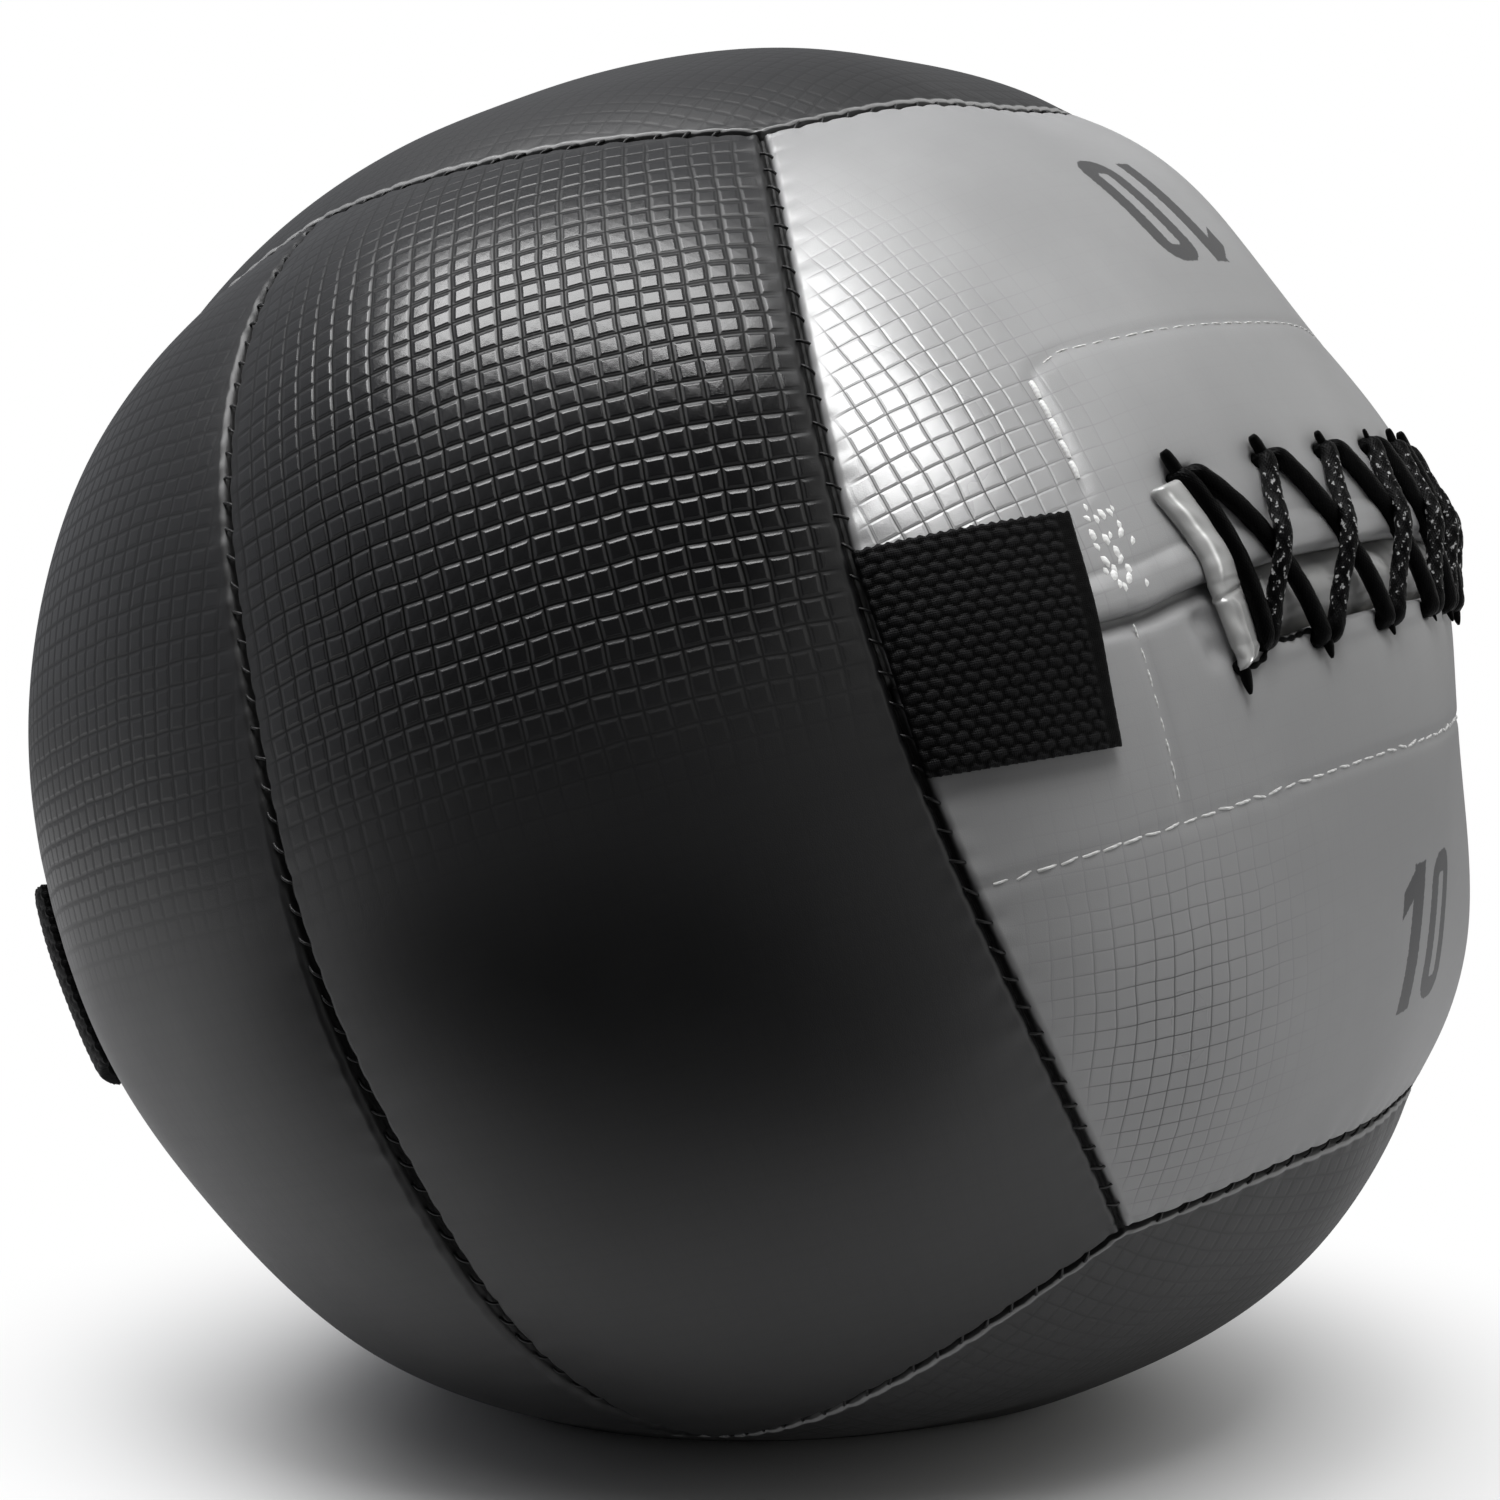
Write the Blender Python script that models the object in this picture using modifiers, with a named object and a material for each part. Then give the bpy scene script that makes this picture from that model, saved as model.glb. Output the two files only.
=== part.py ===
"""Wall ball: a soft weighted ball of eight sewn panels, with a laced opening and four webbing tabs.

Metres, +Z up. The ball is modelled in its own frame: its centre at the origin, the axis through its two
caps along Z and the laced front panel towards -Y. The empty ball_pose leans that frame over and lifts it,
so that the ball lies on the floor at Z = 0 on the side of its bottom cap. An azimuth is measured from the
middle of the front panel, positive towards +X, and a latitude from the equator, positive towards the top.
"""
import math

import bmesh
import bpy
import numpy as np
from mathutils import Matrix, Vector

# Overall size, and how the ball lies: its weight flattens it where it touches the floor
BALL_RADIUS = 0.175
FLOOR_FLATTENING = 0.015
CENTRE_HEIGHT = BALL_RADIUS - FLOOR_FLATTENING
CONTACT_AZIMUTH = -165.0
CONTACT_LATITUDE = -71.0

# Seam layout, in degrees
CORNER_AZIMUTH = 38.0
CORNER_LATITUDE = 43.5
FACE_SEAM_BOW = 9.8
MIDDLE_SEAM_AZIMUTH = 90.0
MIDDLE_SEAM_SWEEP = 5.0
MIDDLE_SEAM_SWING = 14.0
MIDDLE_SEAM_LATITUDE = 57.5
CAP_SIDE_BOW = 1.5
LAP_LATITUDE = -0.5

# Layers, from the skin inwards
SKIN_THICKNESS = 0.002
FACING_THICKNESS = 0.001
TONGUE_THICKNESS = 0.0014
PAD_THICKNESS = 0.0095
BAG_THICKNESS = 0.0012
WEIGHT_BAG_THICKNESS = 0.0015
WEIGHT_BAG_RADIUS = 0.058

# Clearances: between pieces of like facets, between unlike ones, and between neighbours at a seam. Facets
# cut corners by more on a larger ball and at a deeper crease round the flat foot
LAYER_GAP = 0.0004
FACET_SHARE = 0.0060
FACET_GAP = BALL_RADIUS * FACET_SHARE
CREASE_SHARE = 0.06
CREASE_GAP = FLOOR_FLATTENING * CREASE_SHARE
SEAM_GAP = 0.0005

# Soft form: each panel swells between its seams
PILLOW_HEIGHT = 0.0028
PILLOW_WIDTH = 0.045

# Laced opening
HOLE_PAIRS = 7
HOLE_SPACING = 0.0244
UPPER_HOLE_HEIGHT = 0.0202
LOWER_HOLE_DEPTH = 0.0177
OPENING_HALF_LENGTH = 0.074
OPENING_DROP = 0.0130
LAP_WIDTH = 0.008
LACE_RADIUS = 0.0023
LACE_GAP = 0.0008
# How far the lace's end bar bows towards the opening's middle
BAR_BOW = 0.0031

# The tongue, and its folded left end: how far the end's foot and head lie from the first lace hole
TONGUE_LENGTH_SHARE = 0.90
TONGUE_HEIGHT_SHARE = 0.72
FOLD_FOOT_SHIFT = 0.0045
FOLD_HEAD_SHIFT = -0.0040
FOLD_WIDTH = 0.0122
FOLD_HALF_HEIGHT = 0.0155

# Webbing tabs
TAB_WIDTH = 0.041
TAB_HEIGHT = 0.048
TAB_THICKNESS = 0.003
TAB_SEAM_OFFSET = 0.001

# The stitched rectangle round the slit, which holds the facing
FACING_HALF_LENGTH = 0.0977
FACING_ABOVE = 0.051
FACING_BELOW = 0.043

# How far a cutter reaches past the wall it cuts, and how near a cut a corner is moved onto it
CUT_OVERRUN = 0.012
CUT_SNAP = 0.00001

# How finely the panels are divided
FACE_COLUMNS = 12
FACE_ROWS = 12
SIDE_COLUMNS = 6

# Broad swells of the soft body: azimuth, latitude and spread in degrees, and height as a share of the radius
SWELL_SHARES = (
    (130.0, 30.0, 20.0, 0.0120),
    (60.0, -20.0, 22.0, -0.0100),
    (-130.0, 17.0, 16.0, 0.0035),
    (-132.0, -3.0, 16.0, 0.0021),
    (-131.0, -22.0, 16.0, -0.0237),
    (-129.0, -41.0, 16.0, -0.0167),
    (-121.0, -60.0, 16.0, -0.0415),
    (-89.0, -75.0, 16.0, -0.0526),
    (-14.0, -73.0, 16.0, -0.0245),
    (9.0, -56.0, 16.0, 0.0144),
    (16.0, -37.0, 16.0, 0.0102),
    (18.0, -18.0, 16.0, -0.0459),
    (17.0, 1.0, 16.0, 0.0017),
    (15.0, 20.0, 16.0, -0.0344),
    (10.0, 39.0, 16.0, 0.0064),
    (-2.0, 57.0, 16.0, -0.0035),
    (-34.0, 70.0, 16.0, -0.0229),
    (-89.0, 68.0, 16.0, -0.0108),
    (-116.0, 53.0, 16.0, 0.0011),
    (-125.0, 35.0, 16.0, 0.0168),
)

# The part of the ball that can touch the floor: the least share of a direction that points down
DOWN_SHARE = 0.05

# Stops of the lace along a strand, along its end bar and along a loose end in the ball
STRAND_SHARES = (0.16, 0.34, 0.50, 0.66, 0.84)
BAR_SHARES = (0.2, 0.4, 0.6, 0.8)
TAIL_SHARES = (4.0, 2.2)
TURN_SHARE = 0.7

BLACK_LEATHER = (0.022, 0.022, 0.024, 1.0)
GRAY_LEATHER = (0.36, 0.36, 0.37, 1.0)
PALE_LEATHER = (0.50, 0.50, 0.50, 1.0)
BLACK_WEBBING = (0.010, 0.010, 0.011, 1.0)
FOAM_COLOUR = (0.10, 0.10, 0.11, 1.0)
CLOTH_COLOUR = (0.55, 0.53, 0.48, 1.0)
FILLING_COLOUR = (0.28, 0.30, 0.33, 1.0)
SHOT_COLOUR = (0.16, 0.15, 0.14, 1.0)
LEATHER_ROUGHNESS = 0.42
WEBBING_ROUGHNESS = 0.75
CLOTH_ROUGHNESS = 0.95


def clear_scene():
    """Remove every object, so that only the ball is left."""
    for old in list(bpy.data.objects):
        bpy.data.objects.remove(old, do_unlink=True)


def new_collection(name):
    """A collection linked to the scene."""
    collection = bpy.data.collections.new(name)
    bpy.context.scene.collection.children.link(collection)
    return collection


def add_material(thing, colour, roughness):
    """Give an object its own Principled material."""
    material = bpy.data.materials.new(thing.name + "_finish")
    material.use_nodes = True
    shader = material.node_tree.nodes["Principled BSDF"]
    shader.inputs["Base Color"].default_value = colour
    shader.inputs["Roughness"].default_value = roughness
    shader.inputs["Metallic"].default_value = 0
    material.diffuse_color = colour
    thing.data.materials.append(material)


def add_object(name, bm, collection, parent):
    """Turn a bmesh into a named object under a parent."""
    mesh = bpy.data.meshes.new(name)
    bm.to_mesh(mesh)
    bm.free()
    mesh.shade_smooth()
    thing = bpy.data.objects.new(name, mesh)
    collection.objects.link(thing)
    thing.parent = parent
    return thing


def solidify(thing, thickness):
    """Thicken an open surface inwards."""
    wall = thing.modifiers.new("thickness", "SOLIDIFY")
    wall.thickness = thickness
    wall.offset = -1


def boolean(thing, other, operation):
    """Cut one solid by another, or join them."""
    step = thing.modifiers.new(operation.lower() + "_" + other.name, "BOOLEAN")
    step.operation = operation
    step.object = other
    step.solver = "EXACT"


def hide_cutter(thing):
    """A cutter is a guide, not a piece of the ball."""
    thing.hide_render = True
    thing.display_type = "WIRE"


def arc(length):
    """The angle, in degrees, that a length spans on the ball."""
    return math.degrees(length / BALL_RADIUS)


def direction(azimuth, latitude):
    """Unit vectors for azimuths and latitudes in degrees."""
    azimuth, latitude = np.broadcast_arrays(np.radians(azimuth), np.radians(latitude))
    flat = np.cos(latitude)
    return np.stack([flat * np.sin(azimuth), -flat * np.cos(azimuth), np.sin(latitude)], axis=-1)


def face_seam(share):
    """Azimuth and latitude along the seam between a face and a side panel, from -1 below to 1 above."""
    return CORNER_AZIMUTH + FACE_SEAM_BOW * (1 - share ** 2), CORNER_LATITUDE * share


def middle_seam(share):
    """Azimuth and latitude along the seam between two side panels, from -1 below to 1 above."""
    below = np.maximum(-share, 0)
    swing = MIDDLE_SEAM_SWING * below ** 2 * (1 - below)
    return MIDDLE_SEAM_AZIMUTH + MIDDLE_SEAM_SWEEP * share ** 2 + swing, MIDDLE_SEAM_LATITUDE * share


def side_point(across, up, rear):
    """Azimuth and latitude in a side panel: across from its middle seam to its face seam, up from -1 to 1."""
    middle_azimuth, middle_latitude = middle_seam(up)
    face_azimuth, face_latitude = face_seam(up)
    if rear:
        face_azimuth = 180 - face_azimuth
    azimuth = middle_azimuth + (face_azimuth - middle_azimuth) * across
    latitude = middle_latitude + (face_latitude - middle_latitude) * across
    return azimuth, latitude + CAP_SIDE_BOW * np.sin(np.pi * across) * up ** 3


def seam_network():
    """Directions along every seam, from which the swelling of the panels is measured."""
    up = np.linspace(-1, 1, 61)
    across = np.linspace(0, 1, 25)
    wide = np.linspace(-CORNER_AZIMUTH, CORNER_AZIMUTH, 41)
    lines = []
    for side in (-1, 1):
        azimuth, latitude = face_seam(up)
        lines.append(direction(side * azimuth, latitude))
        lines.append(direction(side * (180 - azimuth), latitude))
        azimuth, latitude = middle_seam(up)
        lines.append(direction(side * azimuth, latitude))
        for rear in (False, True):
            for end in (-1.0, 1.0):
                azimuth, latitude = side_point(across, end, rear)
                lines.append(direction(side * azimuth, latitude))
    for end in (-CORNER_LATITUDE, CORNER_LATITUDE):
        lines.append(direction(wide, end))
        lines.append(direction(wide + 180, end))
    return np.concatenate(lines)


SEAMS = seam_network()
CONTACT = direction(CONTACT_AZIMUTH, CONTACT_LATITUDE)


def surface(directions, depth=0.0, pillow=PILLOW_HEIGHT, lift=0.0):
    """Points of the ball's skin in the given directions, or of a layer at a depth below it.

    A lift raises the layer's flat foot further.
    """
    swell = np.ones(directions.shape[:-1])
    for azimuth, latitude, spread, height_share in SWELL_SHARES:
        angle = np.degrees(np.arccos(np.clip(directions @ direction(azimuth, latitude), -1, 1)))
        swell = swell + height_share * np.exp(-(angle / spread) ** 2)
    nearest = np.arccos(np.clip((directions @ SEAMS.T).max(axis=-1), -1, 1)) * BALL_RADIUS
    hollow_share = (1 - np.clip(nearest / PILLOW_WIDTH, 0, 1)) ** 2
    radius = BALL_RADIUS * swell + pillow * (1 - hollow_share) - depth
    down = directions @ CONTACT
    floor_radius = (CENTRE_HEIGHT - depth - lift) / np.maximum(down, DOWN_SHARE)
    radius = np.where(down > DOWN_SHARE, np.minimum(radius, floor_radius), radius)
    return directions * radius[..., None]


def inset(directions, gap):
    """Draw the outer rows and columns of a grid of directions in by a gap on the ball's surface."""
    directions = directions.copy()
    for edge, inner in ((0, 1), (-1, -2)):
        step = directions[inner] - directions[edge]
        directions[edge] += step * (gap / BALL_RADIUS / np.linalg.norm(step, axis=-1, keepdims=True))
    for edge, inner in ((0, 1), (-1, -2)):
        step = directions[:, inner] - directions[:, edge]
        directions[:, edge] += step * (gap / BALL_RADIUS / np.linalg.norm(step, axis=-1, keepdims=True))
    return directions / np.linalg.norm(directions, axis=-1, keepdims=True)


def shell(name, directions, depth, thickness, collection, parent, origin=(0, 0, 0)):
    """A layer over a grid of directions, from a depth below the skin's surface to that depth plus a thickness.

    The grid is given column by column, from left to right as seen from outside, and in each column from the
    bottom up. A depth can be one value or one for each direction.
    """
    columns, rows = directions.shape[:2]
    outer = surface(directions, depth) - np.array(origin)
    inner = surface(directions, depth + thickness) - np.array(origin)
    bm = bmesh.new()
    bmesh.ops.create_grid(bm, x_segments=columns - 1, y_segments=rows - 1, size=1)
    places = {}
    for vertex in bm.verts:
        column = round((vertex.co.x + 1) / 2 * (columns - 1))
        row = round((vertex.co.y + 1) / 2 * (rows - 1))
        places[vertex] = (column, row)
    sheet = bm.faces[:]
    extruded = bmesh.ops.extrude_face_region(bm, geom=sheet, use_keep_orig=True)["geom"]
    for vertex in [part for part in extruded if isinstance(part, bmesh.types.BMVert)]:
        column = round((vertex.co.x + 1) / 2 * (columns - 1))
        row = round((vertex.co.y + 1) / 2 * (rows - 1))
        vertex.co = Vector(inner[column, row])
    for vertex, (column, row) in places.items():
        vertex.co = Vector(outer[column, row])
    bmesh.ops.recalc_face_normals(bm, faces=bm.faces[:])
    if bm.calc_volume(signed=True) < 0:
        bmesh.ops.reverse_faces(bm, faces=bm.faces[:])
    return add_object(name, bm, collection, parent)


def face_grid(stations, rear=False):
    """Directions over a face between its two side seams, at the given shares of the corner latitude."""
    up = np.array(stations)[None, :]
    across = np.linspace(-1, 1, FACE_COLUMNS + 1)[:, None]
    azimuth, latitude = face_seam(up)
    return direction(azimuth * across + (180 if rear else 0), latitude)


def side_grid(side, rear):
    """Directions over a side panel, from left to right as seen from outside."""
    up = np.linspace(-1, 1, FACE_ROWS + 1)[None, :]
    across = np.linspace(0, 1, SIDE_COLUMNS + 1)[:, None]
    azimuth, latitude = side_point(across, up, rear)
    directions = direction(side * azimuth, latitude)
    return directions[::-1] if (side > 0) != rear else directions


def cap_grid(bottom=False):
    """Directions over a cap, blended between its front and rear edges and its two bent sides."""
    side_share = np.linspace(0, 1, SIDE_COLUMNS + 1)
    front_azimuth, front_latitude = side_point(1 - side_share, 1.0, False)
    rear_azimuth, rear_latitude = side_point(side_share, 1.0, True)
    side_azimuth = np.concatenate([front_azimuth, rear_azimuth[1:]])
    side_latitude = np.concatenate([front_latitude, rear_latitude[1:]])
    left = direction(-side_azimuth, side_latitude)
    right = direction(side_azimuth, side_latitude)
    wide = np.linspace(-CORNER_AZIMUTH, CORNER_AZIMUTH, FACE_COLUMNS + 1)
    front = direction(wide, CORNER_LATITUDE)
    rear = direction(180 - wide, CORNER_LATITUDE)
    u = np.linspace(0, 1, FACE_COLUMNS + 1)[:, None, None]
    v = np.linspace(0, 1, 2 * SIDE_COLUMNS + 1)[None, :, None]
    blend = (1 - v) * front[:, None] + v * rear[:, None] + (1 - u) * left[None] + u * right[None]
    blend = blend - (1 - u) * (1 - v) * front[0] - u * (1 - v) * front[-1]
    blend = blend - (1 - u) * v * rear[0] - u * v * rear[-1]
    blend = blend / np.linalg.norm(blend, axis=-1, keepdims=True)
    return blend[:, ::-1] * np.array([1, 1, -1]) if bottom else blend


def patch_grid(azimuths, latitudes, columns, rows):
    """Directions over a small piece that spans a range of azimuths and latitudes."""
    azimuth = np.linspace(azimuths[0], azimuths[1], columns + 1)[:, None]
    latitude = np.linspace(latitudes[0], latitudes[1], rows + 1)[None, :]
    return direction(azimuth, latitude)


def lap_tuck(latitude):
    """How far the lower front piece goes under the upper one, near the slit."""
    run = arc(SKIN_THICKNESS) * 2
    share = np.clip((latitude - (LAP_LATITUDE - run)) / (run / 2), 0, 1)
    return (SKIN_THICKNESS + FACET_GAP) * share


def pad_tuck(latitude):
    """How far the front pad gives way under the lap."""
    lap_top = LAP_LATITUDE + arc(LAP_WIDTH)
    fade = np.clip((lap_top + 2 * arc(SKIN_THICKNESS) - latitude) / arc(SKIN_THICKNESS), 0, 1)
    return lap_tuck(latitude) * fade


def front_stations():
    """Shares of the corner latitude at the rows of the upper piece, the lower piece and the front pad."""
    lap = LAP_LATITUDE / CORNER_LATITUDE
    step = arc(SKIN_THICKNESS) / CORNER_LATITUDE
    lap_top = lap + arc(LAP_WIDTH) / CORNER_LATITUDE
    even = even_stations()
    above = [share for share in even if share > lap_top + 3 * step]
    below = [share for share in even if share < lap - 3 * step] + [lap - 2 * step, lap - step, lap_top]
    past_lap = [lap_top + step, lap_top + 2 * step] + above
    return [lap, lap_top] + past_lap, below, below + past_lap


def hole_places():
    """Azimuth and latitude of the lace holes: the upper row, then the lower row."""
    step = arc(HOLE_SPACING)
    azimuths = [(index - (HOLE_PAIRS - 1) / 2) * step for index in range(HOLE_PAIRS)]
    upper = [(azimuth, arc(UPPER_HOLE_HEIGHT)) for azimuth in azimuths]
    lower = [(azimuth, -arc(LOWER_HOLE_DEPTH)) for azimuth in azimuths]
    return upper, lower


def build_cutters(collection, parent):
    """The cutters of the laced opening: the notch, the lace holes and the window in the foam."""
    bm = bmesh.new()
    bmesh.ops.create_cone(bm, cap_ends=True, segments=40, radius1=1, radius2=1, depth=2)
    turn = Matrix.Rotation(math.radians(90), 4, "X")
    size = Matrix.Diagonal((OPENING_HALF_LENGTH, CUT_OVERRUN * 2, OPENING_DROP, 1))
    lap_height = BALL_RADIUS * math.sin(math.radians(LAP_LATITUDE))
    place = Matrix.Translation((0, -BALL_RADIUS, lap_height))
    bmesh.ops.transform(bm, matrix=place @ size @ turn, verts=bm.verts)
    notch = add_object("notch_cutter", bm, collection, parent)

    bm = bmesh.new()
    upper, lower = hole_places()
    half_length = LACE_RADIUS * 2 + LACE_GAP * 2
    half_width = LACE_RADIUS + LACE_GAP
    for azimuth, latitude in upper + lower:
        made = bmesh.ops.create_cone(bm, cap_ends=True, segments=12, radius1=1, radius2=1, depth=2)
        size = Matrix.Diagonal((half_length, half_width, CUT_OVERRUN, 1))
        outward = Vector(direction(azimuth, latitude))
        frame = outward.to_track_quat("Z", "Y").to_matrix().to_4x4()
        place = Matrix.Translation(outward * BALL_RADIUS)
        bmesh.ops.transform(bm, matrix=place @ frame @ size, verts=made["verts"])
    holes = add_object("hole_cutter", bm, collection, parent)

    bm = bmesh.new()
    bmesh.ops.create_cube(bm, size=2)
    low, high = facing_latitudes()
    margin = FACET_GAP * 2
    bottom = BALL_RADIUS * math.sin(math.radians(low)) - margin
    top = BALL_RADIUS * math.sin(math.radians(high)) + margin
    half_wide = BALL_RADIUS * math.sin(FACING_HALF_LENGTH / BALL_RADIUS) + margin
    size = Matrix.Diagonal((half_wide, BALL_RADIUS / 2, (top - bottom) / 2, 1))
    place = Matrix.Translation((0, -BALL_RADIUS, (top + bottom) / 2))
    bmesh.ops.transform(bm, matrix=place @ size, verts=bm.verts)
    window = add_object("window_cutter", bm, collection, parent)
    for cutter in (notch, holes, window):
        hide_cutter(cutter)
    return notch, holes, window


def facing_latitudes():
    """Lowest and highest latitude of the facing behind the slit."""
    return -arc(FACING_BELOW), arc(FACING_ABOVE)


def even_stations():
    """Shares of the corner latitude at the rows of a panel that isn't divided."""
    return [2 * index / FACE_ROWS - 1 for index in range(FACE_ROWS + 1)]


def panel_grids():
    """The grid of each panel that isn't divided, by the place it has on the ball."""
    grids = {"rear": face_grid(even_stations(), rear=True), "top": cap_grid(), "bottom": cap_grid(bottom=True)}
    for side, side_name in ((-1, "left"), (1, "right")):
        for rear, depth_name in ((False, "front"), (True, "rear")):
            grids[side_name + "_" + depth_name] = side_grid(side, rear)
    return grids


def build_skin(collection, parent, notch, holes):
    """The outer panels of embossed leather."""
    names = {"rear": "rear_panel", "top": "top_cap", "bottom": "bottom_cap"}
    for place, grid in panel_grids().items():
        name = names.get(place, place + "_panel")
        panel = shell(name, inset(grid, SEAM_GAP / 2), 0, SKIN_THICKNESS, collection, parent)
        add_material(panel, BLACK_LEATHER if place != "rear" else GRAY_LEATHER, LEATHER_ROUGHNESS)

    upper_stations, lower_stations, _ = front_stations()
    grid = inset(face_grid(upper_stations), SEAM_GAP / 2)
    upper_panel = shell("front_panel_upper", grid, 0, SKIN_THICKNESS, collection, parent)
    grid = inset(face_grid(lower_stations), SEAM_GAP / 2)
    latitude = np.degrees(np.arcsin(grid[..., 2]))
    lower_panel = shell("front_panel_lower", grid, lap_tuck(latitude), SKIN_THICKNESS, collection, parent)
    boolean(lower_panel, notch, "DIFFERENCE")
    for panel in (upper_panel, lower_panel):
        boolean(panel, holes, "DIFFERENCE")
        add_material(panel, GRAY_LEATHER, LEATHER_ROUGHNESS)


def build_pads(collection, parent, window):
    """The foam pads, one behind each panel."""
    depth = SKIN_THICKNESS + LAYER_GAP
    for place, grid in panel_grids().items():
        pad = shell(place + "_pad", inset(grid, SEAM_GAP / 2), depth, PAD_THICKNESS, collection, parent)
        add_material(pad, FOAM_COLOUR, CLOTH_ROUGHNESS)
    stations = front_stations()[2]
    grid = inset(face_grid(stations), SEAM_GAP / 2)
    tuck = pad_tuck(np.degrees(np.arcsin(grid[..., 2])))
    pad = shell("front_pad", grid, depth + tuck, PAD_THICKNESS - tuck, collection, parent)
    add_material(pad, FOAM_COLOUR, CLOTH_ROUGHNESS)
    boolean(pad, window, "DIFFERENCE")


def lace_depth():
    """How deep the lace's middle runs where it turns under a lip."""
    under_facing = SKIN_THICKNESS + FACET_GAP + FACING_THICKNESS
    return under_facing + FACET_GAP + LACE_RADIUS


def build_facings(collection, parent, notch, holes):
    """The two cloth strips that the stitched rectangle holds behind the slit."""
    low, high = facing_latitudes()
    depth = SKIN_THICKNESS + FACET_GAP
    lap_top = LAP_LATITUDE + arc(LAP_WIDTH + FACET_GAP)
    spans = {"opening_facing_upper": (lap_top, high),
             "opening_facing_lower": (low, LAP_LATITUDE - 3 * arc(SKIN_THICKNESS))}
    for name, latitudes in spans.items():
        half_wide = arc(FACING_HALF_LENGTH)
        grid = patch_grid((-half_wide, half_wide), latitudes, FACE_COLUMNS, 3)
        facing = shell(name, grid, depth, FACING_THICKNESS, collection, parent)
        add_material(facing, CLOTH_COLOUR, CLOTH_ROUGHNESS)
        boolean(facing, notch, "DIFFERENCE")
        boolean(facing, holes, "DIFFERENCE")


def fold_edges():
    """Azimuths and latitudes of the tongue's folded end: its left edge's foot and head, and its width."""
    first_hole = hole_places()[0][0][0]
    half_height = arc(FOLD_HALF_HEIGHT)
    foot = (first_hole + arc(FOLD_FOOT_SHIFT), -half_height)
    head = (first_hole + arc(FOLD_HEAD_SHIFT), half_height)
    return foot, head, arc(FOLD_WIDTH)


def build_tongue(collection, cutters, parent):
    """The strip behind the lace, with its left end drawn out through the slit and folded over the lips."""
    depth = lace_depth() + LACE_RADIUS + LACE_GAP
    half_wide = arc(FACING_HALF_LENGTH) * TONGUE_LENGTH_SHARE
    low, high = facing_latitudes()
    grid = patch_grid((-half_wide, half_wide), (low * TONGUE_HEIGHT_SHARE, high * TONGUE_HEIGHT_SHARE),
                      FACE_COLUMNS, 5)
    tongue = shell("tongue", grid, depth, TONGUE_THICKNESS, collection, parent)
    add_material(tongue, PALE_LEATHER, LEATHER_ROUGHNESS)

    foot, head, width = fold_edges()
    across = np.linspace(0, width, 4)[:, None]
    share = np.linspace(0, 1, 6)[None, :]
    azimuth = foot[0] + (head[0] - foot[0]) * share + across
    latitude = foot[1] + (head[1] - foot[1]) * share
    height = LAYER_GAP + TONGUE_THICKNESS
    fold = shell("fold_joiner", direction(azimuth, latitude), -height, TONGUE_THICKNESS, cutters, parent)

    bm = bmesh.new()
    bmesh.ops.create_cube(bm, size=2)
    neck_azimuth = foot[0] + width
    neck_latitude = LAP_LATITUDE - arc(OPENING_DROP) / 3
    outward = Vector(direction(neck_azimuth, neck_latitude))
    top = BALL_RADIUS + PILLOW_HEIGHT + LAYER_GAP + TONGUE_THICKNESS / 2
    bottom = BALL_RADIUS - depth - TONGUE_THICKNESS / 2
    size = Matrix.Diagonal((OPENING_DROP / 3, OPENING_DROP / 6, (top - bottom) / 2, 1))
    frame = outward.to_track_quat("Z", "Y").to_matrix().to_4x4()
    place = Matrix.Translation(outward * ((top + bottom) / 2))
    bmesh.ops.transform(bm, matrix=place @ frame @ size, verts=bm.verts)
    neck = add_object("neck_joiner", bm, cutters, parent)
    for joiner in (fold, neck):
        hide_cutter(joiner)
        boolean(tongue, joiner, "UNION")


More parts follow.
